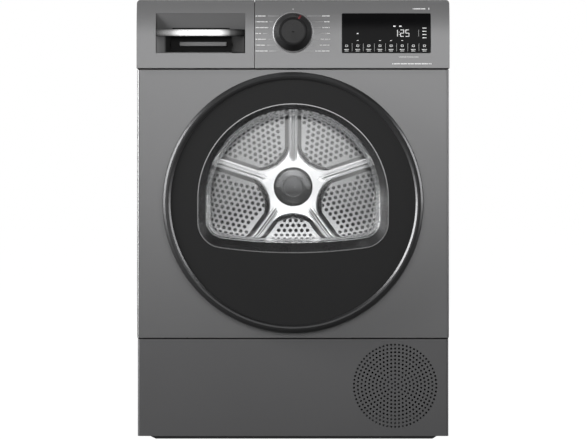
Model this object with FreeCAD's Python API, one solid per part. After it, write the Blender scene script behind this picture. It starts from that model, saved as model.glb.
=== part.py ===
"""Front-loading heat-pump clothes dryer, 60 cm wide, as separate solids.

Millimetres, +Z up, the front faces -Y and +X is on the user's right. The origin is at the middle of
the footprint, on the floor. Each piece is written to parts/NAME.step.
"""
import FreeCAD
import Part
import math
import os

V = FreeCAD.Vector

# ---------------------------------------------------------------- driving dimensions
WIDTH = 598.0
HEIGHT = 842.0
CASE_DEPTH = 613.0
DOOR_PROUD = 38.0
SHEET = 1.5
WALL = 2.5
CLEAR = 0.3

HALF_W = WIDTH / 2
BACK_Y = (CASE_DEPTH + DOOR_PROUD) / 2
DOOR_FRONT_Y = -BACK_Y
FRONT_Y = DOOR_FRONT_Y + DOOR_PROUD

PLINTH_TOP = 192.0
FRONT_BOTTOM = 194.5
FRONT_TOP = 707.7
FASCIA_BOTTOM = 710.2
FASCIA_Y = FRONT_Y - 8.0
FASCIA_BACK_Y = FRONT_Y + 25.0
PANEL_DEPTH = 20.0
WORKTOP_T = 18.0
DRAWER_SEAM_X = -73.7

DOOR_Z = 453.2
DOOR_R = 247.5
DOOR_BACK_Y = FRONT_Y - 3.0
GROOVE_R = 232.0
LOADING_R = 206.0

DRUM_Z = 495.0
DRUM_R = 287.0
DRUM_WALL = 2.0
DRUM_LIP_R = 250.0
DRUM_FRONT_Y = FRONT_Y + 100.0
DRUM_BACK_Y = FRONT_Y + 545.0

MOTOR_X = -205.0
MOTOR_Z = 120.0
PULLEY_R = 12.0
BELT_T = 2.5
BELT_W = 12.0
BELT_Y = 90.0

GRILLE_X = 195.4
GRILLE_Z = 102.6
GRILLE_PITCH = 7.16
GRILLE_RINGS = 11
GRILLE_HOLE_R = 2.0

KNOB_Z = 778.2
KNOB_R = 36.0

HINGE_X = 237.0
HINGE_Y = FRONT_Y - 22.0
HINGE_OPEN = 110.0
HINGE_HALF = 38.0
LUG_T = 6.0
PIN_R = 3.0
LATCH_X = -225.0

FOOT_X = 262.0
FOOT_FRONT_Y = FRONT_Y + 75.0
FOOT_BACK_Y = BACK_Y - 45.0

CABLE_X = -230.0
CABLE_Z = 690.0
DRAIN_X = -215.0
DRAIN_Z = 738.0


# ---------------------------------------------------------------- shape helpers
def box(x0, x1, y0, y1, z0, z1):
    """Block between two corners."""
    return Part.makeBox(x1 - x0, y1 - y0, z1 - z0, V(x0, y0, z0))


def rod_y(r, x, z, y0, y1):
    """Round bar along Y."""
    return Part.makeCylinder(r, y1 - y0, V(x, y0, z), V(0, 1, 0))


def rod_z(r, x, y, z0, z1):
    """Round bar along Z."""
    return Part.makeCylinder(r, z1 - z0, V(x, y, z0), V(0, 0, 1))


def rod_x(r, y, z, x0, x1):
    """Round bar along X."""
    return Part.makeCylinder(r, x1 - x0, V(x0, y, z), V(1, 0, 0))


def ring_y(r_out, r_in, x, z, y0, y1):
    """Tube along Y."""
    return rod_y(r_out, x, z, y0, y1).cut(rod_y(r_in, x, z, y0 - 1, y1 + 1))


def turned_y(profile, x, z):
    """Body of revolution about an axis along Y, from (radius, y) corners."""
    corners = [V(x + r, y, z) for r, y in profile]
    face = Part.Face(Part.makePolygon(corners + corners[:1]))
    return face.revolve(V(x, 0, z), V(0, 1, 0), 360)


def rounded_y(x0, x1, z0, z1, r, y0, y1):
    """Block with its four edges along Y rounded."""
    block = box(x0, x1, y0, y1, z0, z1)
    edges = [e for e in block.Edges if abs(e.BoundBox.YLength - (y1 - y0)) < 1e-6]
    return block.makeFillet(r, edges)


def plate_y(outline, y0, y1):
    """Closed outline in an XZ plane, from a function of y, made into a plate."""
    return Part.Face(outline(y0)).extrude(V(0, y1 - y0, 0))


def joined(*shapes):
    """All the shapes fused into one."""
    whole = shapes[0]
    for shape in shapes[1:]:
        whole = whole.fuse(shape)
    return whole.removeSplitter()


def without(shape, *cutters):
    """The shape with every cutter taken out."""
    for cutter in cutters:
        shape = shape.cut(cutter)
    return shape


def mirrored_x(shape):
    """The same shape on the other side of the machine."""
    return shape.mirror(V(0, 0, 0), V(1, 0, 0))


def save(name, *shapes):
    """Write one node, after checking that its solids are whole."""
    whole = shapes[0] if len(shapes) == 1 else Part.makeCompound(list(shapes))
    if not whole.isValid():
        print("NOT VALID", name)
    print(f"{name:22s} solids {len(whole.Solids):3d}  volume {whole.Volume / 1000:9.1f} cm3")
    if len(whole.Solids) == 1:
        whole = whole.Solids[0]
    whole.exportStep(f"parts/{name}.step")


# ---------------------------------------------------------------- casing
def side_panel():
    """Right side sheet with a shallow pressed field, a flange at the rear and a notch for the fascia."""
    y0 = FRONT_Y + PANEL_DEPTH + CLEAR
    y1 = BACK_Y - 3.0
    top = HEIGHT - WORKTOP_T - CLEAR
    sheet = box(HALF_W - SHEET, HALF_W, y0, y1, 12, top)
    flange = box(HALF_W - 16, HALF_W, y1 - SHEET, y1, 12, top)
    field = box(HALF_W - 0.8, HALF_W + 1, y0 + 50, y1 - 50, 70, top - 60)
    field = field.makeFillet(30, [e for e in field.Edges if e.BoundBox.XLength > 1])
    backing = box(HALF_W - 2.3, HALF_W - SHEET, y0 + 47, y1 - 47, 67, top - 57)
    backing = backing.makeFillet(33, [e for e in backing.Edges if e.BoundBox.XLength > 0.5])
    notch = box(HALF_W - 20, HALF_W + 1, y0 - 1, FASCIA_BACK_Y + CLEAR, FASCIA_BOTTOM - 1, top + 1)
    return without(joined(sheet, flange, backing), field, notch)


def rear_panel():
    """Rear sheet with a louvre field, a cable hole and a drain hole."""
    y0 = BACK_Y - 2.7
    sheet = box(-HALF_W + 4, HALF_W - 4, y0, BACK_Y - 1.2, 12, HEIGHT - WORKTOP_T - CLEAR)
    cuts = [rod_y(11, CABLE_X, CABLE_Z, y0 - 5, BACK_Y), rod_y(13, DRAIN_X, DRAIN_Z, y0 - 5, BACK_Y)]
    for row in range(9):
        z = 110 + 14 * row
        cuts.append(rounded_y(90, 230, z, z + 5, 2.4, y0 - 5, BACK_Y))
    return without(sheet, *cuts)


def front_panel():
    """Folded front sheet with the round loading opening and its collar."""
    deep = FRONT_Y + PANEL_DEPTH
    outer = box(-HALF_W, HALF_W, FRONT_Y, deep, FRONT_BOTTOM, FRONT_TOP)
    front_edges = [
        e for e in outer.Edges
        if e.BoundBox.ZLength > 100 and abs(e.BoundBox.YMin - FRONT_Y) < 1e-6
    ]
    outer = outer.makeFillet(5, front_edges)
    inner = box(
        -HALF_W + SHEET, HALF_W - SHEET, FRONT_Y + SHEET, deep + 5,
        FRONT_BOTTOM + SHEET, FRONT_TOP - SHEET,
    )
    tray = outer.cut(inner)
    collar = ring_y(LOADING_R + SHEET, LOADING_R, 0, DOOR_Z, FRONT_Y, FRONT_Y + 12)
    hole = rod_y(LOADING_R, 0, DOOR_Z, FRONT_Y - 5, deep + 5)
    slots = [latch_slot()]
    for z in lug_levels():
        slots.append(box(HINGE_X - 3.5, HINGE_X + 3.5, FRONT_Y - 5, FRONT_Y + 5, z - 1, z + LUG_T + 1))
    return without(joined(tray, collar), hole, *slots)


def lug_levels():
    """Lower faces of the two 6 mm hinge lugs."""
    return [DOOR_Z - HINGE_HALF, DOOR_Z + HINGE_HALF - LUG_T]


def latch_slot():
    """Slot through which the door's hook passes."""
    return box(LATCH_X - 7, LATCH_X + 5, FRONT_Y - 5, FRONT_Y + 5, DOOR_Z - 15, DOOR_Z + 15)


def plinth_panel():
    """Lower front cover with the round cooling-air grille."""
    deep = FRONT_Y + PANEL_DEPTH
    half = HALF_W - 1.2
    outer = box(-half, half, FRONT_Y, deep, 6.3, PLINTH_TOP)
    front_edges = [
        e for e in outer.Edges
        if e.BoundBox.ZLength > 100 and abs(e.BoundBox.YMin - FRONT_Y) < 1e-6
    ]
    outer = outer.makeFillet(5, front_edges)
    inner = box(-half + WALL, half - WALL, FRONT_Y + WALL, deep + 5, 6.3 + WALL, PLINTH_TOP - WALL)
    tray = outer.cut(inner)
    disc_r = GRILLE_PITCH * (GRILLE_RINGS + 1)
    opening = rod_y(disc_r, GRILLE_X, GRILLE_Z, FRONT_Y - 1, FRONT_Y + WALL + 1)
    return joined(tray.cut(opening), grille_disc(disc_r))


def grille_disc(disc_r):
    """Round plate with rings of air holes; ring k holds 6k holes."""
    rim = Part.Wire(Part.makeCircle(disc_r, V(GRILLE_X, FRONT_Y, GRILLE_Z), V(0, 1, 0)))
    wires = [rim]
    for ring in range(GRILLE_RINGS + 1):
        count = max(1, 6 * ring)
        for k in range(count):
            angle = 2 * math.pi * k / count
            centre = V(
                GRILLE_X + ring * GRILLE_PITCH * math.sin(angle), FRONT_Y,
                GRILLE_Z + ring * GRILLE_PITCH * math.cos(angle),
            )
            wires.append(Part.Wire(Part.makeCircle(GRILLE_HOLE_R, centre, V(0, 1, 0))))
    return Part.Face(wires, "Part::FaceMakerBullseye").extrude(V(0, WALL, 0))


def base_strip():
    """Dark strip along the foot of the plinth, with chamfered ends."""
    corners = [V(-263, 0, 1.0), V(267, 0, 1.0), V(275, 0, 6.0), V(-273, 0, 6.0)]
    face = Part.Face(Part.makePolygon(corners + corners[:1]))
    face.translate(V(0, FRONT_Y + 2, 0))
    return face.extrude(V(0, 14, 0))


def worktop_frame():
    """Moulded edge frame of the worktop, rounded at the rear corners."""
    y0 = FASCIA_BACK_Y + 0.5
    z0 = HEIGHT - WORKTOP_T
    outer = box(-HALF_W, HALF_W, y0, BACK_Y, z0, HEIGHT - 0.6)
    rear = [e for e in outer.Edges if e.BoundBox.ZLength > 10 and e.BoundBox.YMin > 0]
    outer = outer.makeFillet(12, rear)
    well = box(-HALF_W + 14, HALF_W - 14, y0 + 14, BACK_Y - 14, z0 + 3, HEIGHT)
    below = box(-HALF_W + 22, HALF_W - 22, y0 + 22, BACK_Y - 22, z0 - 1, z0 + 4)
    return without(outer, well, below)


def worktop_board():
    """Laminated board set in the frame."""
    y0 = FASCIA_BACK_Y + 0.5
    board = box(
        -HALF_W + 14.2, HALF_W - 14.2, y0 + 14.2, BACK_Y - 14.2,
        HEIGHT - WORKTOP_T + 3, HEIGHT - 0.1,
    )
    return board


# ---------------------------------------------------------------- control panel and drawer front
def fascia_block(x0, x1, inset):
    """Solid with the front's gently crowned section, drawn in by inset all round."""
    def point(y, z):
        return V(x0, y, z)

    back = point(FASCIA_BACK_Y, FASCIA_BOTTOM + inset)
    foot = point(FASCIA_Y + inset, FASCIA_BOTTOM + inset)
    rise = point(FASCIA_Y + inset, FASCIA_BOTTOM + 45)
    crown = point(FASCIA_Y + 1.9 + inset, FASCIA_BOTTOM + 93)
    brow = point(FASCIA_Y + 7.0 + inset, HEIGHT - 5)
    bend = point(FASCIA_Y + 8.4 + inset * 0.7, HEIGHT - 1.4 - inset * 0.7)
    top = point(FASCIA_Y + 12.0, HEIGHT - inset)
    end = point(FASCIA_BACK_Y, HEIGHT - inset)
    edges = [
        Part.makeLine(back, foot),
        Part.makeLine(foot, rise),
        Part.Arc(rise, crown, brow).toShape(),
        Part.Arc(brow, bend, top).toShape(),
        Part.makeLine(top, end),
        Part.makeLine(end, back),
    ]
    return Part.Face(Part.Wire(edges)).extrude(V(x1 - x0, 0, 0))


def fascia_shell(x0, x1):
    """Open-backed moulding between two x limits."""
    hollow = fascia_block(x0 + WALL, x1 - WALL, WALL)
    deeper = hollow.copy()
    deeper.translate(V(0, 10, 0))
    return without(fascia_block(x0, x1, 0), hollow, deeper)


def corner_trim(side):
    """Block that rounds the outer top corner of the fascia on one side."""
    radius = 8.0
    x = side * (HALF_W - radius)
    z = HEIGHT - radius
    low_x, high_x = sorted((x, side * (HALF_W + 1)))
    corner = box(low_x, high_x, FASCIA_Y - 5, FASCIA_BACK_Y + 5, z, HEIGHT + 1)
    return corner.cut(rod_y(radius, x, z, FASCIA_Y - 6, FASCIA_BACK_Y + 6))


DISPLAY = (93.2, 263.0, 738.8, 815.1)
RECESS = (-262.4, -91.5, 738.6, 815.5)


def control_fascia():
    """Control panel moulding from the drawer seam to the right side."""
    shell = fascia_shell(DRAWER_SEAM_X + 0.6, HALF_W)
    x0, x1, z0, z1 = DISPLAY
    window = rounded_y(x0 - 0.2, x1 + 0.2, z0 - 0.2, z1 + 0.2, 2.2, FASCIA_Y - 5, FASCIA_BACK_Y)
    spindle = rod_y(6.5, 0, KNOB_Z, FASCIA_Y - 5, FASCIA_BACK_Y)
    return without(shell, window, spindle, corner_trim(1))


def display_window():
    """Tinted cover glass of the display, following the fascia's section."""
    x0, x1, z0, z1 = DISPLAY
    glass = fascia_block(x0, x1, 0).cut(fascia_block(x0 - 1, x1 + 1, 3.0))
    return glass.common(rounded_y(x0, x1, z0, z1, 2.0, FASCIA_Y - 5, FASCIA_Y + 9))


def drawer_front():
    """Face of the condensate drawer, with the opening for its handle."""
    shell = fascia_shell(-HALF_W, DRAWER_SEAM_X - 0.6)
    x0, x1, z0, z1 = RECESS
    opening = box(x0, x1, FASCIA_Y - 5, FASCIA_Y + 12, z0, z1)
    return without(shell, opening, corner_trim(-1))


def handle_cup():
    """Moulded cup behind the drawer face: a sloping brow, two flared sides and a deep pocket."""
    x0, x1, z0, z1 = RECESS
    gap = 0.15
    y_back = FASCIA_Y + 30
    block = box(x0 + gap, x1 - gap, FASCIA_Y + 3, y_back, z0 + gap, z1 - gap)
    brow = Part.Face(Part.makePolygon([
        V(x0 - 1, FASCIA_Y + 2, z1 + 2), V(x0 - 1, FASCIA_Y + 3.5, z1 - 1),
        V(x0 - 1, FASCIA_Y + 13, z1 - 30.5), V(x0 - 1, FASCIA_Y - 2, z1 - 30.5),
        V(x0 - 1, FASCIA_Y + 2, z1 + 2),
    ])).extrude(V(x1 - x0 + 2, 0, 0))
    mouth = Part.makePolygon([
        V(x0 + 2, FASCIA_Y + 2.9, z0 + 1.2), V(x1 - 2, FASCIA_Y + 2.9, z0 + 1.2),
        V(x1 - 2, FASCIA_Y + 2.9, z1 - 30.5), V(x0 + 2, FASCIA_Y + 2.9, z1 - 30.5),
        V(x0 + 2, FASCIA_Y + 2.9, z0 + 1.2),
    ])
    floor = Part.makePolygon([
        V(x0 + 27, y_back - 2, z0 + 6), V(x1 - 27, y_back - 2, z0 + 6),
        V(x1 - 27, y_back - 2, z1 - 30.5), V(x0 + 27, y_back - 2, z1 - 30.5),
        V(x0 + 27, y_back - 2, z0 + 6),
    ])
    pocket = Part.makeLoft([mouth, floor], True, True)
    under = box(x0 + 30, x1 - 30, FASCIA_Y + 12, y_back - 2, z0 + 8, z1 - 26)
    seat = box(x0, x1, FASCIA_Y, FASCIA_Y + 4.25, z1 - 44.05, z1 - 30.5)
    return without(block, brow, pocket, under, seat)


def handle_strip():
    """Bright grip strip across the drawer's recess."""
    x0, x1, _, z1 = RECESS
    strip = box(x0 + 0.3, x1 - 0.3, FASCIA_Y + 1.2, FASCIA_Y + 4.2, z1 - 44, z1 - 31)
    return strip.makeFillet(1.2, [e for e in strip.Edges if e.BoundBox.XLength > 50])


def finger_bar():
    """Light bar at the back of the drawer's finger pocket."""
    x0, x1, z0, _ = RECESS
    return box(x0 + 44.4, x1 - 36.5, FASCIA_Y + 21, FASCIA_Y + 26.8, z0 + 16, z0 + 23.7)


def drawer_housing():
    """Sleeve on the cabinet that guides the condensate tank."""
    outer = tank_prism(3.2, FASCIA_BACK_Y + 2, 160)
    inner = tank_prism(1.2, FASCIA_BACK_Y - 5, 158)
    return outer.cut(inner)


def tank_prism(grow, y0, y1):
    """Tank section that slopes to clear the drum, drawn out along Y."""
    left, right, top, low, bend, high = -280.0, -100.0, 811.0, 717.0, -212.0, 783.0
    corners = [
        V(left - grow, y0, low - grow), V(bend + grow * 0.3, y0, low - grow),
        V(right + grow, y0, high - grow), V(right + grow, y0, top + grow), V(left - grow, y0, top + grow),
    ]
    face = Part.Face(Part.makePolygon(corners + corners[:1]))
    return face.extrude(V(0, y1 - y0, 0))


TANK_CAP = (-235.0, 118.0)


def tank_body():
    """Condensate tank, a hollow moulding with a filling hole in its roof."""
    y0 = FASCIA_BACK_Y + 1.0
    shell = tank_prism(0, y0, 150).cut(tank_prism(-2.0, y0 + 2, 148))
    x, y = TANK_CAP
    carrier = box(-296.3, -77, y0 - 4, y0 - 1, 716, 830)
    neck = box(-278, -102, y0 - 1, y0, 785, 809)
    return joined(shell.cut(rod_z(16, x, y, 800, 815)), carrier, neck)


def tank_cap():
    """Splash cap in the tank's filling hole."""
    x, y = TANK_CAP
    return rod_z(15.8, x, y, 806, 811.5).cut(rod_z(5, x, y, 800, 815))


def knob_ring():
    """Bright trim ring round the programme knob."""
    face = FASCIA_Y - CLEAR
    profile = [(36.7, face - 1.6), (37.6, face - 2.2), (38.6, face - 1.4), (39.0, face), (36.7, face)]
    return turned_y(profile, 0, KNOB_Z)


def programme_knob():
    """Turning knob with a conical side, a dished face and a spindle."""
    base = FASCIA_Y - 1.0
    profile = [
        (0, base - 19.6), (22.0, base - 20.4), (24.5, base - 21.0), (27.0, base - 20.2),
        (34.6, base - 5.0), (35.9, base - 2.0), (35.9, base), (5.0, base), (5.0, base + 14), (0, base + 14),
    ]
    return turned_y(profile, 0, KNOB_Z)


def knob_encoder():
    """Rotary encoder behind the panel, on its own small board."""
    can = ring_y(14, 5.1, 0, KNOB_Z, FASCIA_Y + WALL + 2, FASCIA_Y + WALL + 12)
    board = box(-30, 30, FASCIA_Y + WALL + 12, FASCIA_Y + WALL + 13.6, KNOB_Z - 24, KNOB_Z + 24)
    return joined(can, board)


def display_board():
    """Electronics board behind the display glass."""
    x0, x1, z0, z1 = DISPLAY
    y0 = FASCIA_Y + 13
    board = box(x0 - 4, x1 + 4, y0, y0 + 1.6, z0 - 6, z1 + 6)
    segments = box(x0 + 60, x0 + 118, y0 - 5, y0, z1 - 36, z1 - 16)
    relay = box(x0 + 10, x0 + 30, y0 + 1.6, y0 + 12, z0 + 10, z0 + 26)
    return joined(board, segments, relay)


# ---------------------------------------------------------------- heat-pump base
def base_tray():
    """Moulded floor of the machine with bosses for the feet."""
    y0 = FRONT_Y + PANEL_DEPTH + 3
    y1 = BACK_Y - 5
    half = HALF_W - 3
    tray = box(-half, half, y0, y1, 14, 44).cut(box(-half + 3, half - 3, y0 + 3, y1 - 3, 18, 60))
    bosses = [rod_z(13, sx * FOOT_X, y, 14, 40) for sx in (-1, 1) for y in (FOOT_FRONT_Y, FOOT_BACK_Y)]
    bores = [rod_z(5.3, sx * FOOT_X, y, 5, 50) for sx in (-1, 1) for y in (FOOT_FRONT_Y, FOOT_BACK_Y)]
    return without(joined(tray, *bosses), *bores)


FILTER_Y = (FRONT_Y + 62, FRONT_Y + 90)
CORE_X = (-128.0, 92.0)
CORE_Y = (-175.0, 60.0)


def base_cover():
    """Upper shell of the air channel over the heat exchangers, with the filter's socket in front."""
    y0 = FILTER_Y[0] - 8
    outer = box(CORE_X[0] - 6, CORE_X[1] + 22, y0, CORE_Y[1] + 6, 19, 196)
    inner = box(CORE_X[0] - 3.5, CORE_X[1] + 19.5, y0 + 2.5, CORE_Y[1] + 20, 21.5, 193.5)
    socket = box(-104, 104, FILTER_Y[0] - 2, FILTER_Y[1] + 2, 180, 200)
    return without(outer, inner, socket)


def finned_block(y0, y1):
    """Heat exchanger: side plates, tube rows and a stack of fins."""
    x0, x1 = CORE_X
    fins = []
    step = 11.0
    count = int((x1 - x0 - 4) / step)
    for k in range(count + 1):
        x = x0 + 1 + k * step
        fins.append(box(x, x + 1.2, y0, y1, 26, 186))
    tubes = []
    for row in range(4):
        z = 46 + 40 * row
        for y in (y0 + 0.3 * (y1 - y0), y0 + 0.7 * (y1 - y0)):
            tubes.append(rod_x(4.5, y, z, x0, x1))
    return joined(*fins, *tubes)


COMPRESSOR = (196.0, 150.0)


def compressor():
    """Sealed compressor can with domed ends on a mounting plate."""
    x, y = COMPRESSOR
    profile = [(0, 30), (44, 30), (51, 34), (54, 42), (54, 208), (51, 218), (42, 225), (24, 228), (0, 228)]
    corners = [V(x + r, y, z) for r, z in profile]
    can = Part.Face(Part.makePolygon(corners + corners[:1])).revolve(V(x, y, 0), V(0, 0, 1), 360)
    plate = box(x - 58, x + 58, y - 58, y + 58, 24, 30)
    blocks = [
        box(x + sx * 48 - 8, x + sx * 48 + 8, y + sy * 48 - 8, y + sy * 48 + 8, 18.2, 24)
        for sx in (-1, 1) for sy in (-1, 1)
    ]
    return joined(can, plate, *blocks)


def refrigerant_pipes():
    """Copper lines between the compressor and the two exchangers."""
    x, y = COMPRESSOR
    upper = bent_pipe([V(x - 20, y - 49, 166), V(x - 20, 84, 166), V(CORE_X[1] + 10, 84, 166),
                       V(CORE_X[1] + 10, 27, 166), V(CORE_X[1], 27, 166)], 4.0, 7.0)
    lower = bent_pipe([V(x + 12, y - 52, 126), V(x + 12, 78, 126), V(CORE_X[1] + 12, 78, 126),
                       V(CORE_X[1] + 12, -101.5, 126), V(CORE_X[1], -101.5, 126)], 4.0, 7.0)
    return upper, lower


def bent_pipe(points, r, bend):
    """Round pipe of straight runs joined by tangent arcs of the bend radius."""
    edges = []
    start = points[0]
    for before, corner, after in zip(points, points[1:], points[2:]):
        inward = before.sub(corner).normalize()
        onward = after.sub(corner).normalize()
        half = inward.getAngle(onward) / 2
        cut = bend / math.tan(half)
        first = corner.add(V(inward).multiply(cut))
        last = corner.add(V(onward).multiply(cut))
        middle = V(inward).add(onward).normalize()
        crown = corner.add(middle.multiply(bend / math.sin(half) - bend))
        edges.append(Part.makeLine(start, first))
        edges.append(Part.Arc(first, crown, last).toShape())
        start = last
    edges.append(Part.makeLine(start, points[-1]))
    path = Part.Wire(edges)
    section = Part.Wire(Part.makeCircle(r, points[0], points[1].sub(points[0])))
    return path.makePipeShell([section], True, False)


FAN_Y = FRONT_Y + 37.5


def fan_shroud():
    """Square frame round the cooling fan with four struts to its hub motor."""
    x, z = GRILLE_X, GRILLE_Z
    frame = rounded_y(x - 78, x + 78, z - 78, z + 78, 10, FAN_Y - 10, FAN_Y + 18)
    frame = frame.cut(rod_y(72, x, z, FAN_Y - 11, FAN_Y + 19))
    hub = rod_y(20, x, z, FAN_Y + 12.5, FAN_Y + 30)
    arm_h = box(x - 74, x + 74, FAN_Y + 13, FAN_Y + 17, z - 3, z + 3)
    arm_v = box(x - 3, x + 3, FAN_Y + 13, FAN_Y + 17, z - 74, z + 74)
    pin = rod_y(3, x, z, FAN_Y - 4, FAN_Y + 13)
    return joined(frame, hub, arm_h, arm_v, pin)


def cooling_fan():
    """Seven-bladed cooling fan on the shroud's pin."""
    x, z = GRILLE_X, GRILLE_Z
    hub = rod_y(19, x, z, FAN_Y - 8, FAN_Y + 11)
    blades = []
    for k in range(7):
        blade = box(x - 1.2, x + 1.2, FAN_Y - 6, FAN_Y + 10, z + 15, z + 69)
        blade.rotate(V(x, FAN_Y + 2, z), V(0, 0, 1), 38)
        blade.rotate(V(x, FAN_Y, z), V(0, 1, 0), k * 360 / 7)
        blades.append(blade)
    return joined(hub, *blades).cut(rod_y(3.05, x, z, FAN_Y - 5, FAN_Y + 20))


def condensate_pump():
    """Pump pot with its motor, beside the air channel."""
    pot = rod_z(26, -205, -150, 19, 62)
    motor = rod_z(19, -205, -150, 62, 104)
    stub = rod_x(6, -112, 36, -211, -199)
    link = box(-211, -199, -130, -106, 30, 42)
    return joined(pot, motor, stub, link)


def pump_hose():
    """Hose from the pump up the left side to the drawer housing."""
    return bent_pipe([V(-211, -112, 36), V(-286, -112, 36), V(-286, 311, 36), V(-286, 311, 745),
                      V(-262, 311, 745), V(-262, 161, 745)], 5.0, 11.0)


def motor_axis_ring(r_out, r_in, y0, y1):
    """Tube on the motor's axis."""
    return ring_y(r_out, r_in, MOTOR_X, MOTOR_Z, y0, y1)


def motor_housing():
    """Drive motor case with end bells and cooling slots."""
    case = motor_axis_ring(56, 48, 112, 226)
    bell_front = motor_axis_ring(56, 6.05, 106, 112)
    bell_rear = motor_axis_ring(56, 6.05, 226, 232)
    slots = []
    for k in range(12):
        slot = box(MOTOR_X - 3, MOTOR_X + 3, 130, 208, MOTOR_Z + 44, MOTOR_Z + 60)
        slot.rotate(V(MOTOR_X, 0, MOTOR_Z), V(0, 1, 0), 30 * k)
        slots.append(slot)
    return without(joined(case, bell_front, bell_rear), *slots)


def motor_bracket():
    """Saddle that carries the motor on the base tray."""
    block = box(MOTOR_X - 52, MOTOR_X + 52, 118, 222, 18.3, MOTOR_Z - 8)
    hollow = box(MOTOR_X - 44, MOTOR_X + 44, 126, 214, 10, MOTOR_Z)
    return without(block, hollow, rod_y(56.2, MOTOR_X, MOTOR_Z, 100, 240))


def motor_shaft():
    """Rotor and through shaft of the motor."""
    rotor = rod_y(44, MOTOR_X, MOTOR_Z, 130, 210)
    shaft = rod_y(6, MOTOR_X, MOTOR_Z, BELT_Y - 16, BLOWER_Y[1] + 1)
    return joined(rotor, shaft)


def motor_pulley():
    """Small flanged belt pulley."""
    rim = motor_axis_ring(PULLEY_R, 6.0, BELT_Y - 9, BELT_Y + 9)
    flanges = [motor_axis_ring(PULLEY_R + 5, 6.0, y, y + 2) for y in (BELT_Y - 11, BELT_Y + 9)]
    return joined(rim, *flanges)


BLOWER_Y = (250.0, 282.0)
DUCT_Y = (262.0, 304.0)
SPOUT_Z = 300.0


def blower_wheel():
    """Radial blower wheel with a back plate and curved vanes."""
    y0, y1 = BLOWER_Y
    plate = motor_axis_ring(72, 6.0, y1 - 2, y1)
    hub = motor_axis_ring(14, 6.0, y0 + 4, y1)
    vanes = []
    for k in range(16):
        vane = box(MOTOR_X - 0.9, MOTOR_X + 0.9, y0, y1 - 2, MOTOR_Z + 44, MOTOR_Z + 71)
        vane.rotate(V(MOTOR_X, 0, MOTOR_Z + 58), V(0, 1, 0), 30)
        vane.rotate(V(MOTOR_X, 0, MOTOR_Z), V(0, 1, 0), k * 22.5)
        vanes.append(vane)
    return joined(plate, hub, *vanes)


def blower_housing():
    """Blower scroll with an inlet in front and a riser towards the rear duct."""
    y0, y1 = BLOWER_Y
    scroll = rod_y(82, MOTOR_X, MOTOR_Z, y0 - 6, y1 + 6)
    riser = box(MOTOR_X - 82, MOTOR_X - 22, DUCT_Y[0], y1 + 6, MOTOR_Z, SPOUT_Z)
    room = rod_y(79, MOTOR_X, MOTOR_Z, y0 - 3, y1 + 3)
    passage = box(MOTOR_X - 79, MOTOR_X - 25, DUCT_Y[0] + 3, y1 + 3, MOTOR_Z, SPOUT_Z + 1)
    inlet = rod_y(40, MOTOR_X, MOTOR_Z, y0 - 10, y0)
    return without(joined(scroll, riser), room, passage, inlet)


def rear_duct():
    """Dish behind the drum that carries the warm air and the drum's bearing, with its inlet spout."""
    y0, y1 = DUCT_Y
    flange = ring_y(288, 268, 0, DRUM_Z, y0, y0 + 2)
    wall = ring_y(270, 268, 0, DRUM_Z, y0, y1)
    back = ring_y(270, 24, 0, DRUM_Z, y1 - 2, y1)
    boss = ring_y(28, 24, 0, DRUM_Z, y1 - 20, y1)
    x0, x1 = MOTOR_X - 82, MOTOR_X - 22
    spout = box(x0, x1, y0, y1, SPOUT_Z, 420)
    inside = box(x0 + 3, x1 - 3, y0 + 3, y1 - 3, SPOUT_Z - 5, 417)
    return without(joined(flange, wall, back, boss, spout), inside)


def rear_bearing():
    """Sleeve bearing of the drum shaft."""
    y1 = DUCT_Y[1]
    return ring_y(24, 12.05, 0, DRUM_Z, y1 - 18, y1 - 2)


# ---------------------------------------------------------------- loading throat and seals
THROAT_R = 201.0
THROAT_FLOOR_Z = 300.0
SHIELD_Y = DRUM_FRONT_Y - 4.5


def throat():
    """Front bearing shield with the loading throat, its flat floor and the filter slot."""
    y0 = FRONT_Y + 2.5
    tube = ring_y(THROAT_R + 3, THROAT_R, 0, DOOR_Z, y0, SHIELD_Y)
    plate = rod_y(270, 0, DRUM_Z, SHIELD_Y - 3, SHIELD_Y)
    apron = box(-228, 228, SHIELD_Y - 3, SHIELD_Y, 214, 330)
    floor_half = 131.5
    floor = box(-floor_half, floor_half, y0, SHIELD_Y, THROAT_FLOOR_Z - 3, THROAT_FLOOR_Z)
    way = rod_y(THROAT_R, 0, DOOR_Z, y0 - 5, SHIELD_Y + 5)
    way = way.cut(box(-300, 300, y0 - 10, SHIELD_Y + 10, 200, THROAT_FLOOR_Z))
    slot = box(-102, 102, FILTER_Y[0] - 1.5, FILTER_Y[1] + 1.5, 240, THROAT_FLOOR_Z + 1)
    axle_holes = [rod_y(5.0, x, z, SHIELD_Y - 5, SHIELD_Y + 5) for x, z in roller_places()]
    return without(joined(tube, plate, apron, floor), way, slot, *axle_holes)


def filter_duct():
    """Rectangular duct from the throat's slot down to the base cover."""
    y0, y1 = FILTER_Y[0] - 4, FILTER_Y[1] + 1.7
    outer = box(-106, 106, y0, y1, 196.5, 248)
    inner = box(-103, 103, y0 + 2.2, y1 - 1.2, 190, 250)
    return outer.cut(inner)


def roller_places():
    """Centres of the two rollers that carry the drum's front rim."""
    reach = DRUM_R + ROLLER_R + CLEAR
    spread = math.radians(38)
    return [(side * reach * math.sin(spread), DRUM_Z - reach * math.cos(spread)) for side in (-1, 1)]


ROLLER_R = 35.0
ROLLER_Y = (DRUM_FRONT_Y + 9, DRUM_FRONT_Y + 27)


def roller_axle(x, z):
    """Headed steel axle fixed in the shield."""
    axle = rod_y(5.0, x, z, SHIELD_Y - 3, ROLLER_Y[1] + 2)
    head = rod_y(8.0, x, z, ROLLER_Y[1] + 2, ROLLER_Y[1] + 4)
    collar = ring_y(8.0, 5.0, x, z, SHIELD_Y, ROLLER_Y[0] - 0.5)
    return joined(axle, head, collar)


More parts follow.
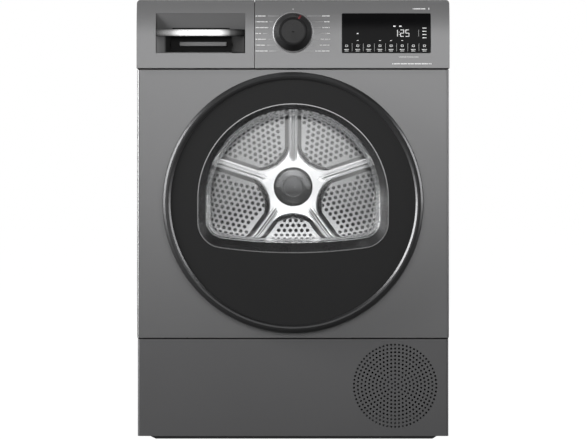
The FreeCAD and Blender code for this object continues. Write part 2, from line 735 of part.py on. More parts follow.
def support_roller(x, z):
    """Rubber-tyred roller."""
    wheel = ring_y(ROLLER_R, 5.05, x, z, *ROLLER_Y)
    edges = [e for e in wheel.Edges if e.BoundBox.XLength > 60]
    return wheel.makeFillet(2.0, edges)


def lamp_lens():
    """Clear lens of the drum lamp in the roof of the throat."""
    lens = box(-26, 26, FRONT_Y + 60, FRONT_Y + 84, DOOR_Z + 190, DOOR_Z + 198.8)
    return lens.makeFillet(4, [e for e in lens.Edges if e.BoundBox.ZLength > 5])


def moisture_sensor():
    """Two metal strips in the throat floor."""
    return [
        box(x, x + 16, FRONT_Y + 45, FRONT_Y + 88, THROAT_FLOOR_Z, THROAT_FLOOR_Z + 1.5)
        for x in (-124, 108)
    ]


# ---------------------------------------------------------------- drum
def drum_shell():
    """Rolled drum with its front lip."""
    y0, y1 = DRUM_FRONT_Y, DRUM_BACK_Y
    skin = ring_y(DRUM_R, DRUM_R - DRUM_WALL, 0, DRUM_Z, y0, y1)
    lip = ring_y(DRUM_R, DRUM_LIP_R, 0, DRUM_Z, y0, y0 + 2)
    bead = ring_y(DRUM_LIP_R + 2, DRUM_LIP_R, 0, DRUM_Z, y0, y0 + 8)
    return joined(skin, lip, bead)


SPOKES = 5
STAR_DEPTH = 8.0
BACK_PLATE_Y = DRUM_BACK_Y - 5.5


def drum_back():
    """Rear wall of the drum: a perforated disc with a pressed star of raised spokes."""
    rim_r = DRUM_R - DRUM_WALL - 0.1
    y0 = BACK_PLATE_Y
    wires = [Part.Wire(Part.makeCircle(rim_r, V(0, y0, DRUM_Z), V(0, 1, 0)))]
    for x, z in drum_holes():
        wires.append(Part.Wire(Part.makeCircle(DRUM_HOLE_R, V(x, y0, z), V(0, 1, 0))))
    disc = Part.Face(wires, "Part::FaceMakerBullseye").extrude(V(0, 2, 0))
    flange = ring_y(rim_r, rim_r - 2, 0, DRUM_Z, y0, DRUM_BACK_Y)
    star = [Part.makeCone(72, 54, STAR_DEPTH, V(0, y0, DRUM_Z), V(0, -1, 0))]
    for k in range(SPOKES):
        star.append(spoke(k * 360 / SPOKES))
    raised = joined(*star).common(rod_y(rim_r - 0.5, 0, DRUM_Z, y0 - 20, y0 + 1))
    return joined(disc, flange, raised)


DRUM_HOLE_R = 4.2
HOLE_PITCH = 13.0
SPOKE_HALF = 19.0


def drum_holes():
    """Hole centres: rows across each of the five sectors, clear of the spokes and the hub."""
    half_sector = math.pi / SPOKES
    places = []
    for sector in range(SPOKES):
        lean = math.radians(-90 + 72 * sector)
        for row in range(16):
            distance = 76 + row * HOLE_PITCH * 0.866
            reach = distance * math.tan(half_sector) - (SPOKE_HALF + 6) / math.cos(half_sector)
            shift = 0.5 if row % 2 == 0 else 0.0
            limit = int(reach / HOLE_PITCH + 2)
            for k in range(-limit, limit + 1):
                across = (k + shift) * HOLE_PITCH
                if abs(across) > reach or math.hypot(across, distance) > 238:
                    continue
                x = distance * math.cos(lean) - across * math.sin(lean)
                z = distance * math.sin(lean) + across * math.cos(lean)
                places.append((x, DRUM_Z + z))
    return places


def spoke(turn):
    """One raised spoke with sloping flanks, turned from straight up."""
    y0 = BACK_PLATE_Y
    foot, crest = SPOKE_HALF, SPOKE_HALF - 8

    def outline(half, y):
        low, high = DRUM_Z + 30, DRUM_Z + 282
        return Part.makePolygon([
            V(-half, y, low), V(half, y, low), V(half, y, high), V(-half, y, high), V(-half, y, low),
        ])

    bar = Part.makeLoft([outline(foot, y0), outline(crest, y0 - STAR_DEPTH)], True, True)
    bar.rotate(V(0, 0, DRUM_Z), V(0, 1, 0), turn)
    return bar


def drum_hub_cover():
    """Polished cap on the middle of the star."""
    y = BACK_PLATE_Y - STAR_DEPTH
    profile = [(0, y - 4.6), (26, y - 4.4), (38, y - 3.4), (43.5, y - 1.8), (45, y), (0, y)]
    return turned_y(profile, 0, DRUM_Z)


def drum_shaft():
    """Stub shaft with its flange on the back of the drum."""
    y0 = BACK_PLATE_Y + 2
    return joined(rod_y(62, 0, DRUM_Z, y0, y0 + 3), rod_y(12, 0, DRUM_Z, y0, DUCT_Y[1] - 3))


def drum_lifters():
    """Three lifter vanes on the inside of the drum."""
    root_r = DRUM_R - DRUM_WALL
    vanes = []
    for k in range(3):
        block = Part.Face(Part.makePolygon([
            V(-30, -150, DRUM_Z + root_r + 3), V(-12, -150, DRUM_Z + root_r - 44),
            V(12, -150, DRUM_Z + root_r - 44), V(30, -150, DRUM_Z + root_r + 3),
            V(-30, -150, DRUM_Z + root_r + 3),
        ])).extrude(V(0, 370, 0))
        block = block.common(rod_y(root_r, 0, DRUM_Z, -160, 230))
        block.rotate(V(0, 0, DRUM_Z), V(0, 1, 0), 60 + 120 * k)
        vanes.append(block)
    return vanes


# ---------------------------------------------------------------- belt drive
def belt_normals():
    """Outward unit normals (x, z) of the belt's two straight runs."""
    dx, dz = -MOTOR_X, DRUM_Z - MOTOR_Z
    reach = math.hypot(dx, dz)
    ux, uz = dx / reach, dz / reach
    along = (PULLEY_R - DRUM_R) / reach
    across = math.sqrt(1 - along * along)
    return [(along * ux + s * across * uz, along * uz - s * across * ux) for s in (-1, 1)]


def belt_hull(grow, y0, y1):
    """Solid inside the belt loop, grown by an offset."""
    drum = rod_y(DRUM_R + grow, 0, DRUM_Z, y0, y1)
    pulley = rod_y(PULLEY_R + grow, MOTOR_X, MOTOR_Z, y0, y1)
    (ax, az), (bx, bz) = belt_normals()
    big, small = DRUM_R + grow, PULLEY_R + grow
    corners = [
        V(big * ax, y0, DRUM_Z + big * az), V(MOTOR_X + small * ax, y0, MOTOR_Z + small * az),
        V(MOTOR_X + small * bx, y0, MOTOR_Z + small * bz), V(big * bx, y0, DRUM_Z + big * bz),
    ]
    web = Part.Face(Part.makePolygon(corners + corners[:1])).extrude(V(0, y1 - y0, 0))
    return drum.fuse(pulley).fuse(web).removeSplitter()


def drive_belt():
    """Flat ribbed belt round the drum and the motor pulley."""
    y0, y1 = BELT_Y - BELT_W / 2, BELT_Y + BELT_W / 2
    return belt_hull(CLEAR + BELT_T, y0, y1).cut(belt_hull(CLEAR, y0 - 1, y1 + 1))


IDLER_R = 15.0
ARM_PIVOT = (-150.0, 60.0)


def idler_place():
    """Centre (x, z) of the idler, outside the lower run near the motor."""
    nx, nz = belt_normals()[1]
    along = 60.0
    offset = PULLEY_R + CLEAR + BELT_T + CLEAR + IDLER_R
    return MOTOR_X + nx * offset - nz * along, MOTOR_Z + nz * offset + nx * along


def idler_pulley():
    """Idler that presses on the back of the belt."""
    x, z = idler_place()
    return ring_y(IDLER_R, 4.05, x, z, BELT_Y - 7, BELT_Y + 7)


def tensioner_arm():
    """Sprung arm with the idler's pin."""
    x, z = idler_place()
    px, pz = ARM_PIVOT
    y0 = BELT_Y + 8.5
    length = math.hypot(x - px, z - pz)
    bar = box(-7, 7, y0, y0 + 3, 0, length)
    bar.rotate(V(0, 0, 0), V(0, 1, 0), math.degrees(math.atan2(x - px, z - pz)))
    bar.translate(V(px, 0, pz))
    pin = rod_y(4, x, z, BELT_Y - 9, y0)
    head = rod_y(6.5, x, z, BELT_Y - 10.5, BELT_Y - 8)
    eyes = [rod_y(11, px, pz, y0, y0 + 3), rod_y(10, x, z, y0, y0 + 3)]
    return joined(bar, pin, head, *eyes).cut(rod_y(5.05, px, pz, y0 - 5, y0 + 10))


def tensioner_post():
    """Post on the base tray with the arm's pivot stud."""
    px, pz = ARM_PIVOT
    y0 = BELT_Y + 12.5
    post = box(px - 8, px + 8, y0, y0 + 4, 18.2, pz + 9)
    foot = box(px - 8, px + 8, y0, y0 + 11, 18.2, 22)
    stud = rod_y(5, px, pz, y0 - 6, y0)
    head = rod_y(8, px, pz, y0 - 7.5, y0 - 5)
    return joined(post, foot, stud, head)


# ---------------------------------------------------------------- door
WINDOW_HALF = 181.5
WINDOW_TOP = 641.0
WINDOW_LOW = 357.0
WINDOW_CORNER = 50.0
WINDOW_SWEEP = 1000.0


def window_outline(side, top=None, low=None):
    """Function of y giving the D-shaped outline drawn in by the stated margins."""
    top = side if top is None else top
    low = side if low is None else low

    def outline(y):
        half = WINDOW_HALF - side
        arch_z = WINDOW_TOP - top - half
        sill = WINDOW_LOW + low
        corner = max(WINDOW_CORNER - side, 12.0)
        sweep_z = sill + WINDOW_SWEEP
        cx = half - corner
        cz = sweep_z - math.sqrt((WINDOW_SWEEP - corner) ** 2 - cx ** 2)
        grow = WINDOW_SWEEP / (WINDOW_SWEEP - corner)
        tx, tz = cx * grow, sweep_z + (cz - sweep_z) * grow
        lean = (math.pi + math.atan2(sweep_z - cz, cx)) / 2
        mx, mz = cx - corner * math.cos(lean), cz - corner * math.sin(lean)
        mx, mz = cx + abs(mx - cx), mz
        edges = [
            Part.Arc(V(-half, y, arch_z), V(0, y, arch_z + half), V(half, y, arch_z)).toShape(),
            Part.makeLine(V(half, y, arch_z), V(half, y, cz)),
            Part.Arc(V(half, y, cz), V(mx, y, mz), V(tx, y, tz)).toShape(),
            Part.Arc(V(tx, y, tz), V(0, y, sill), V(-tx, y, tz)).toShape(),
            Part.Arc(V(-tx, y, tz), V(-mx, y, mz), V(-half, y, cz)).toShape(),
            Part.makeLine(V(-half, y, cz), V(-half, y, arch_z)),
        ]
        return Part.Wire(edges)

    return outline


def hinge_clearance():
    """Room inside the door for the two lugs as the door swings, and for the pins and knuckles."""
    rooms = [rod_z(6.5, HINGE_X, HINGE_Y, DOOR_Z - HINGE_HALF - 4, DOOR_Z + HINGE_HALF + 4)]
    for z in lug_levels():
        sweep = Part.makeCylinder(30, LUG_T + 2, V(HINGE_X, HINGE_Y, z - 1), V(0, 0, 1), HINGE_OPEN + 44)
        sweep.rotate(V(HINGE_X, HINGE_Y, 0), V(0, 0, 1), 90 - HINGE_OPEN - 30)
        rooms.append(sweep)
    return rooms


def grip_notch():
    """Finger room cut into the left side of the door rim."""
    return box(-255, -230.5, DOOR_BACK_Y - 20, DOOR_BACK_Y - 7, DOOR_Z - 48, DOOR_Z + 48)


def door_ring():
    """Moulded outer ring of the door, with its rounded crest and a ledge for the dark panel."""
    back = DOOR_BACK_Y - 1.5
    front = DOOR_FRONT_Y
    profile = [
        (DOOR_R, back), (DOOR_R, front + 8.0), (DOOR_R - 1.5, front + 4.6), (DOOR_R - 5.5, front + 1.1),
        (DOOR_R - 9.0, front), (DOOR_R - 12.0, front + 0.9), (GROOVE_R + 0.3, front + 3.7),
        (GROOVE_R + 0.3, front + 7.2), (GROOVE_R - 8, front + 7.2), (GROOVE_R - 8, front + 10.2),
        (DOOR_R - 3, front + 10.2), (DOOR_R - 3, back),
    ]
    return without(turned_y(profile, 0, DOOR_Z), grip_notch(), *hinge_clearance())


def door_panel():
    """Dark face of the door with the D-shaped opening."""
    y0 = DOOR_FRONT_Y + 4.2
    disc = rod_y(GROOVE_R, 0, DOOR_Z, y0, y0 + 2.9)
    return disc.cut(plate_y(window_outline(0), y0 - 1, y0 + 4))


BEZEL_Y = (DOOR_FRONT_Y + 3.9, DOOR_FRONT_Y + 25.5)


def window_bezel():
    """Glossy funnel-shaped surround between the dark face and the bowl."""
    y0, y1 = BEZEL_Y
    body = plate_y(window_outline(0.2), y0, y1)
    funnel = Part.makeLoft([window_outline(2.0)(y0 - 0.1), window_outline(15, 10, 19)(y1 + 0.1)], True, True)
    return body.cut(funnel)


BOWL_BACK_Y = FRONT_Y + 55.0


def window_bowl():
    """Clear bowl that reaches into the throat, open to the front, with a clamping flange."""
    y0 = BEZEL_Y[1] + 0.2
    flange = plate_y(window_outline(4), y0, y0 + 2.4)
    outer = Part.makeLoft(bowl_sections(0.0, y0), True, False)
    inner = Part.makeLoft(bowl_sections(3.0, y0 - 0.5), True, False)
    return joined(flange, outer).cut(inner)


def bowl_sections(wall, y0):
    """Outlines of the bowl from its rim to its rounded floor, drawn in by the wall."""
    floor_y = BOWL_BACK_Y - wall
    stations = [(y0, 14.0, 10.0, 18.0), (floor_y - 26, 20.0, 17.0, 25.0), (floor_y - 8, 26.0, 24.0, 32.0),
                (floor_y, 36.0, 34.0, 42.0)]
    return [window_outline(s + wall, t + wall, low + wall)(y) for y, s, t, low in stations]


FRAME_T = 6.2
SCREW_SPOTS = [(222 * math.cos(math.radians(a)), 222 * math.sin(math.radians(a)))
               for a in (25, 65, 115, 155, 205, 245, 295, 335)]


def door_frame():
    """Inner frame that closes the door's back and clamps the bowl."""
    y1 = DOOR_BACK_Y
    plate = rod_y(DOOR_R - 3.4, 0, DOOR_Z, y1 - FRAME_T, y1)
    hole = plate_y(window_outline(12, 8, 16), y1 - FRAME_T - 1, y1 + 1)
    holes = []
    for x, z in SCREW_SPOTS:
        holes.append(rod_y(1.9, x, DOOR_Z + z, y1 - 10, y1))
        holes.append(rod_y(3.8, x, DOOR_Z + z, y1 - 1.8, y1 + 1))
    return without(plate, hole, *hinge_clearance(), *holes)


def door_screws():
    """Pan-head screws of the inner frame."""
    y1 = DOOR_BACK_Y
    return [
        joined(rod_y(3.6, x, DOOR_Z + z, y1 - 1.8, y1 - 0.2), rod_y(1.7, x, DOOR_Z + z, y1 - 12, y1 - 1))
        for x, z in SCREW_SPOTS
    ]


def door_hinge_arm():
    """Steel arm inside the door with two knuckles between the lugs."""
    knuckles = []
    for z in (DOOR_Z - HINGE_HALF + LUG_T + 0.3, DOOR_Z + HINGE_HALF - LUG_T - 9.3):
        knuckles.append(rod_z(5, HINGE_X, HINGE_Y, z, z + 9))
        knuckles.append(box(HINGE_X - 12, HINGE_X, HINGE_Y - 2, HINGE_Y + 2, z, z + 9))
    strap = box(198, HINGE_X - 8, HINGE_Y - 2, HINGE_Y + 2, DOOR_Z - 31, DOOR_Z + 31)
    tab = box(198, 202, HINGE_Y, DOOR_BACK_Y - FRAME_T, DOOR_Z - 31, DOOR_Z + 31)
    bore = rod_z(PIN_R + 0.05, HINGE_X, HINGE_Y, DOOR_Z - 60, DOOR_Z + 60)
    return joined(*knuckles, strap, tab).cut(bore)


def hinge_bracket():
    """Steel plate behind the front sheet with two lugs that reach through it."""
    plate = box(213, 266, FRONT_Y + SHEET, FRONT_Y + SHEET + 3, DOOR_Z - 54, DOOR_Z + 54)
    lugs = []
    for z in lug_levels():
        lugs.append(box(HINGE_X - 2.5, HINGE_X + 2.5, HINGE_Y, FRONT_Y + SHEET + 3, z, z + LUG_T))
        lugs.append(rod_z(5, HINGE_X, HINGE_Y, z, z + LUG_T))
    return joined(plate, *lugs).cut(rod_z(PIN_R, HINGE_X, HINGE_Y, DOOR_Z - 60, DOOR_Z + 60))


def hinge_pins():
    """Two headed pins, one through each lug and knuckle."""
    low = DOOR_Z - HINGE_HALF
    high = DOOR_Z + HINGE_HALF
    lower = joined(
        rod_z(PIN_R, HINGE_X, HINGE_Y, low - 1, low + LUG_T + 9.3),
        rod_z(4.5, HINGE_X, HINGE_Y, low - 2.5, low),
    )
    upper = joined(
        rod_z(PIN_R, HINGE_X, HINGE_Y, high - LUG_T - 9.3, high + 1),
        rod_z(4.5, HINGE_X, HINGE_Y, high, high + 2.5),
    )
    return lower, upper


def door_grip():
    """Finger cup inside the left side of the ring."""
    cup = box(-246, -226, DOOR_BACK_Y - 22, DOOR_BACK_Y - FRAME_T - 0.2, DOOR_Z - 51, DOOR_Z + 51)
    cup = cup.common(rod_y(DOOR_R - 3.2, 0, DOOR_Z, -400, 0))
    room = box(-255, -230.5, DOOR_BACK_Y - 20, DOOR_BACK_Y - 8.2, DOOR_Z - 48.5, DOOR_Z + 48.5)
    return cup.cut(room)


def latch_hook():
    """Hook on the back of the door."""
    z0, z1 = DOOR_Z - 8, DOOR_Z + 8
    arm = box(LATCH_X - 2, LATCH_X + 1.5, DOOR_BACK_Y, FRONT_Y + 20, z0, z1)
    nose = box(LATCH_X - 5, LATCH_X + 1.5, FRONT_Y + 15, FRONT_Y + 20, z0, z1)
    foot = box(LATCH_X - 5, LATCH_X + 8, DOOR_BACK_Y, DOOR_BACK_Y + 1.2, z0 - 6, z1 + 6)
    return joined(arm, nose, foot)


def latch_catch():
    """Catch behind the front sheet that the hook snaps into."""
    y0 = FRONT_Y + SHEET + 0.2
    case = box(LATCH_X - 14, LATCH_X + 12, y0, FRONT_Y + 30, DOOR_Z - 20, DOOR_Z + 20)
    room = box(LATCH_X - 8, LATCH_X + 6, y0 - 2, FRONT_Y + 26, DOOR_Z - 14, DOOR_Z + 14)
    return case.cut(room)


def door_seal():
    """Rubber seal round the loading opening."""
    return ring_y(217, LOADING_R + 2, 0, DOOR_Z, FRONT_Y - 2.7, FRONT_Y)


# ---------------------------------------------------------------- filter, feet and small pieces
FILTER_TOP = 303.0
FILTER_LOW = 150.0


def lint_filter():
    """Frame of the lint filter: a flat pocket with two screen windows, a slotted top and a grip."""
    y0, y1 = FILTER_Y
    body = box(-100, 100, y0, y1, FILTER_LOW, FILTER_TOP)
    pocket = box(-95, 95, y0 + 5, y1 - 5, FILTER_LOW + 5, FILTER_TOP + 5)
    windows = []
    for k in range(3):
        x0 = -92 + k * 63
        windows.append(box(x0, x0 + 58, y0 - 5, y1 + 5, FILTER_LOW + 12, FILTER_TOP - 30))
    bars = [box(x - 1.5, x + 1.5, y0 + 4, y1 - 4, FILTER_TOP - 6, FILTER_TOP) for x in (-63, -32, 0, 32, 63)]
    return joined(without(body, pocket, *windows), *bars)


def filter_screens():
    """Fine screens behind the filter's windows."""
    y0, y1 = FILTER_Y
    return [
        box(-94.5, 94.5, y, y + 0.8, FILTER_LOW + 6, FILTER_TOP - 10)
        for y in (y0 + 5.1, y1 - 5.9)
    ]


def foot(x, y):
    """Levelling foot: moulded pad on a threaded stem."""
    pad = rod_z(19, x, y, 0, 7)
    pad = pad.makeFillet(2, [e for e in pad.Edges if e.BoundBox.ZMin > 6])
    hexagon = rod_z(10, x, y, 7, 12)
    stem = rod_z(5, x, y, 12, 50)
    return joined(pad, hexagon, stem)


def power_module():
    """Motor electronics in a closed case under the worktop."""
    case = rounded_y(112, 272, 784, 815, 4, -240, -100)
    ribs = [box(130 + 16 * k, 134 + 16 * k, -225, -115, 815, 819) for k in range(8)]
    return joined(case, *ribs)


def cable_gland():
    """Mains inlet gland in the rear panel."""
    y1 = BACK_Y - 1.2
    body = joined(rod_y(10.8, CABLE_X, CABLE_Z, BACK_Y - 12, y1), rod_y(15, CABLE_X, CABLE_Z, y1, BACK_Y))
    return body.cut(rod_y(4.2, CABLE_X, CABLE_Z, BACK_Y - 20, BACK_Y + 5))


def drain_spigot():
    """Outlet spigot for an optional drain hose."""
    y1 = BACK_Y - 1.2
    body = joined(rod_y(12.8, DRAIN_X, DRAIN_Z, BACK_Y - 30, y1), rod_y(17, DRAIN_X, DRAIN_Z, y1, BACK_Y))
    return body.cut(rod_y(9, DRAIN_X, DRAIN_Z, BACK_Y - 40, BACK_Y + 5))


def rear_screws():
    """Screws round the rear panel."""
    y1 = BACK_Y - 1.2
    spots = [(sx * 288, z) for sx in (-1, 1) for z in (60, 240, 420, 600, 790)]
    spots += [(x, 806) for x in (-180, -60, 60, 180)]
    return [rod_y(4.2, x, z, y1, BACK_Y - 0.1) for x, z in spots]


# ---------------------------------------------------------------- write every node
def write_all():
    """Write one file for each named piece."""
    write_casing()
    write_controls()
    write_base()
    write_drum_and_drive()
    write_door_and_filter()


def write_casing():
    """Sheets, worktop, plinth and feet."""
    right = side_panel()
    save("right_side_panel", right)
    save("left_side_panel", mirrored_x(right))
    save("rear_panel", rear_panel())
    save("rear_fittings", cable_gland(), drain_spigot())
    save("rear_screws", *rear_screws())
    save("front_panel", front_panel())
    save("plinth_panel", plinth_panel())
    save("base_strip", base_strip())
    save("worktop_frame", worktop_frame())
    save("worktop_board", worktop_board())
    for name, x, y in (
        ("foot_front_left", -FOOT_X, FOOT_FRONT_Y), ("foot_front_right", FOOT_X, FOOT_FRONT_Y),
        ("foot_rear_left", -FOOT_X, FOOT_BACK_Y), ("foot_rear_right", FOOT_X, FOOT_BACK_Y),
    ):
        save(name, foot(x, y))


def write_controls():
    """Control panel, knob, display and condensate drawer."""
    save("control_fascia", control_fascia())
    save("display_window", display_window())
    save("control_electronics", display_board(), knob_encoder(), power_module())
    save("knob_ring", knob_ring())
    save("programme_knob", programme_knob())
    save("drawer_front", drawer_front())
    save("handle_cup", handle_cup())
    save("handle_strip", handle_strip(), finger_bar())
    save("condensate_tank", tank_body(), tank_cap())
    save("drawer_housing", drawer_housing())


def write_base():
    """Heat pump, cooling fan, pump and their mouldings."""
    save("base_tray", base_tray())
    save("air_channel", base_cover(), filter_duct())
    exchangers = (
        finned_block(CORE_Y[0], CORE_Y[0] + 105), finned_block(CORE_Y[1] - 110, CORE_Y[1]),
    )
    save("heat_exchangers", *exchangers)
    save("compressor", compressor(), *refrigerant_pipes())
    save("fan_shroud", fan_shroud())
    save("cooling_fan", cooling_fan())
    save("condensate_pump", condensate_pump(), pump_hose())


def write_drum_and_drive():
    """Throat, drum, motor, belt and blower."""
    save("throat", throat())
    axles = [roller_axle(x, z) for x, z in roller_places()]
    save("throat_fittings", lamp_lens(), *moisture_sensor(), *axles)
    for side, (x, z) in zip(("left", "right"), roller_places()):
        save(f"{side}_roller", support_roller(x, z))
    save("drum_shell", drum_shell())
    save("drum_back", drum_back())
    save("drum_hub_cover", drum_hub_cover())
    save("drum_shaft", drum_shaft())
    save("drum_lifters", *drum_lifters())
    front_seal = ring_y(268, 252, 0, DRUM_Z, SHIELD_Y, DRUM_FRONT_Y - CLEAR)
    rear_seal = ring_y(284, 270, 0, DRUM_Z, DRUM_BACK_Y + CLEAR, DUCT_Y[0])
    save("seals", front_seal, rear_seal, door_seal())
    save("rear_duct", rear_duct(), rear_bearing())
    save("motor_housing", motor_housing())
    save("motor_mounts", motor_bracket(), tensioner_post())
    save("motor_rotor", motor_shaft(), motor_pulley())
    save("blower_wheel", blower_wheel())
    save("blower_housing", blower_housing())
    save("drive_belt", drive_belt())
    save("idler_pulley", idler_pulley())
    save("tensioner_arm", tensioner_arm())


def write_door_and_filter():
    """Door, hinge, latch and lint filter."""
    save("door_ring", door_ring())
    save("door_panel", door_panel())
    save("window_bezel", window_bezel())
    save("window_bowl", window_bowl())
    save("door_frame", door_frame())
    save("door_fittings", door_hinge_arm(), latch_hook(), *door_screws())
    save("door_grip", door_grip())
    save("hinge_bracket", hinge_bracket(), *hinge_pins())
    save("latch_catch", latch_catch())
    save("lint_filter", lint_filter(), *filter_screens())


os.makedirs("parts", exist_ok=True)
write_all()
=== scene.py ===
import bpy, bmesh, math
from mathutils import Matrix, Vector
from mathutils.bvhtree import BVHTree


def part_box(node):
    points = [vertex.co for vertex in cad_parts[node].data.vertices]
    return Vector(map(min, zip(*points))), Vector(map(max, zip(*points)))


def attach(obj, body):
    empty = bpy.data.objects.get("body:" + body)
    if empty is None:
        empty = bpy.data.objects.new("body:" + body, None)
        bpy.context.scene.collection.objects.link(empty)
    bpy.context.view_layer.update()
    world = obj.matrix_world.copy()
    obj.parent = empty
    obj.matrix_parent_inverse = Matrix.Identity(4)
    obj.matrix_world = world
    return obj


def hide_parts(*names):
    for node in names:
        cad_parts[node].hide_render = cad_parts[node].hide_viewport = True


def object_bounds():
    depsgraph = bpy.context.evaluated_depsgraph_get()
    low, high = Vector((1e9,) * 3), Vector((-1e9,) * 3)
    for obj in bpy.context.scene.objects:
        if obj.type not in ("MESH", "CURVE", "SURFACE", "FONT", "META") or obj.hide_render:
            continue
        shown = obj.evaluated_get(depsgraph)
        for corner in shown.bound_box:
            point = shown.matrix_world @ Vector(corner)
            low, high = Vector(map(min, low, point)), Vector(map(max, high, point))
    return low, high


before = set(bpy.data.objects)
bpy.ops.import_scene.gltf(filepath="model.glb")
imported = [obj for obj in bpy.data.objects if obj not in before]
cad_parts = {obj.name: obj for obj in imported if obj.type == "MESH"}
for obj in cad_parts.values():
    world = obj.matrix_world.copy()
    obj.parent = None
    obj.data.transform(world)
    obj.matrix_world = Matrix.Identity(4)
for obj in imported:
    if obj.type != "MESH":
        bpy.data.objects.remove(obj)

cad_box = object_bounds()

# ---------------------------------------------------------------- studio
# A pale floor and six soft panels: two in front above the lens, one each side, one above, one behind.
# The lens stands square to the machine's front at half its height.
FRONT_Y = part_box("front_panel")[0].y
MID_Z = (cad_box[0].z + cad_box[1].z) / 2
VIEW_WIDTH = 1.124
LENS_REACH = 3.0
SENSOR = 36.0

lens = bpy.data.cameras.new("lens")
lens.sensor_width = SENSOR
lens.lens = SENSOR * LENS_REACH / VIEW_WIDTH
camera = bpy.data.objects.new("lens", lens)
camera.location = (0.0008, FRONT_Y - LENS_REACH, MID_Z - 0.001)
camera.rotation_euler = (math.radians(90), 0, 0)
bpy.context.scene.collection.objects.link(camera)
bpy.context.scene.camera = camera
bpy.context.scene.view_settings.view_transform = "Standard"


def soft_panel(name, place, aim, width, height, watts, shade=1.0):
    """Rectangular studio light at place, facing aim."""
    light = bpy.data.lights.new(name, "AREA")
    light.shape = "RECTANGLE"
    light.size, light.size_y = width, height
    light.energy = watts
    light.color = (shade, shade, shade)
    holder = bpy.data.objects.new(name, light)
    holder.location = place
    holder.rotation_euler = (Vector(aim) - Vector(place)).to_track_quat("-Z", "Y").to_euler()
    bpy.context.scene.collection.objects.link(holder)
    return holder


soft_panel("front_light", (0.2, FRONT_Y - 4.3, 1.25), (0, FRONT_Y, 0.75), 3.4, 1.3, 37)
soft_panel("high_light", (0.0, FRONT_Y - 3.2, 2.6), (0, FRONT_Y, 0.6), 3.0, 0.9, 6)
soft_panel("left_light", (-3.2, -1.2, 1.4), (0, 0, 0.45), 1.2, 2.4, 160)
soft_panel("right_light", (3.4, -0.8, 1.4), (0, 0, 0.45), 1.0, 2.2, 60)
soft_panel("top_light", (0, 0.6, 3.4), (0, 0, 0.8), 3.0, 2.0, 20)
soft_panel("rear_light", (0.6, 3.6, 1.8), (0, 0, 0.45), 2.2, 1.6, 70)

world = bpy.data.worlds.new("studio")
world.use_nodes = True
bpy.context.scene.world = world
sky = world.node_tree
sky.nodes.clear()
seen = sky.nodes.new("ShaderNodeBackground")
seen.inputs["Color"].default_value = (1, 1, 1, 1)
seen.inputs["Strength"].default_value = 1.0
ambient = sky.nodes.new("ShaderNodeBackground")
ambient.inputs["Color"].default_value = (1, 1, 1, 1)
ambient.inputs["Strength"].default_value = 0.03
path = sky.nodes.new("ShaderNodeLightPath")
choice = sky.nodes.new("ShaderNodeMixShader")
ground = sky.nodes.new("ShaderNodeOutputWorld")
sky.links.new(path.outputs["Is Camera Ray"], choice.inputs["Fac"])
sky.links.new(ambient.outputs[0], choice.inputs[1])
sky.links.new(seen.outputs[0], choice.inputs[2])
sky.links.new(choice.outputs[0], ground.inputs["Surface"])

floor_mesh = bmesh.new()
bmesh.ops.create_grid(floor_mesh, x_segments=4, y_segments=4, size=60.0)
floor_data = bpy.data.meshes.new("floor")
floor_mesh.to_mesh(floor_data)
floor_mesh.free()
floor = bpy.data.objects.new("floor", floor_data)
floor.location.z = -0.0005
bpy.context.scene.collection.objects.link(floor)
pale = bpy.data.materials.new("pale_floor")
pale.use_nodes = True
tree = pale.node_tree
tree.nodes.clear()
near_white = tree.nodes.new("ShaderNodeBsdfDiffuse")
near_white.inputs["Color"].default_value = (0.06, 0.06, 0.06, 1)
glow = tree.nodes.new("ShaderNodeEmission")
glow.inputs["Strength"].default_value = 1.0
lit = tree.nodes.new("ShaderNodeAddShader")
mirrored = tree.nodes.new("ShaderNodeBsdfDiffuse")
mirrored.inputs["Color"].default_value = (0.16, 0.16, 0.16, 1)
rays = tree.nodes.new("ShaderNodeLightPath")
pick = tree.nodes.new("ShaderNodeMixShader")
sheet = tree.nodes.new("ShaderNodeOutputMaterial")
tree.links.new(near_white.outputs[0], lit.inputs[0])
tree.links.new(glow.outputs[0], lit.inputs[1])
tree.links.new(rays.outputs["Is Camera Ray"], pick.inputs["Fac"])
tree.links.new(mirrored.outputs[0], pick.inputs[1])
tree.links.new(lit.outputs[0], pick.inputs[2])
tree.links.new(pick.outputs[0], sheet.inputs["Surface"])
floor_data.materials.append(pale)


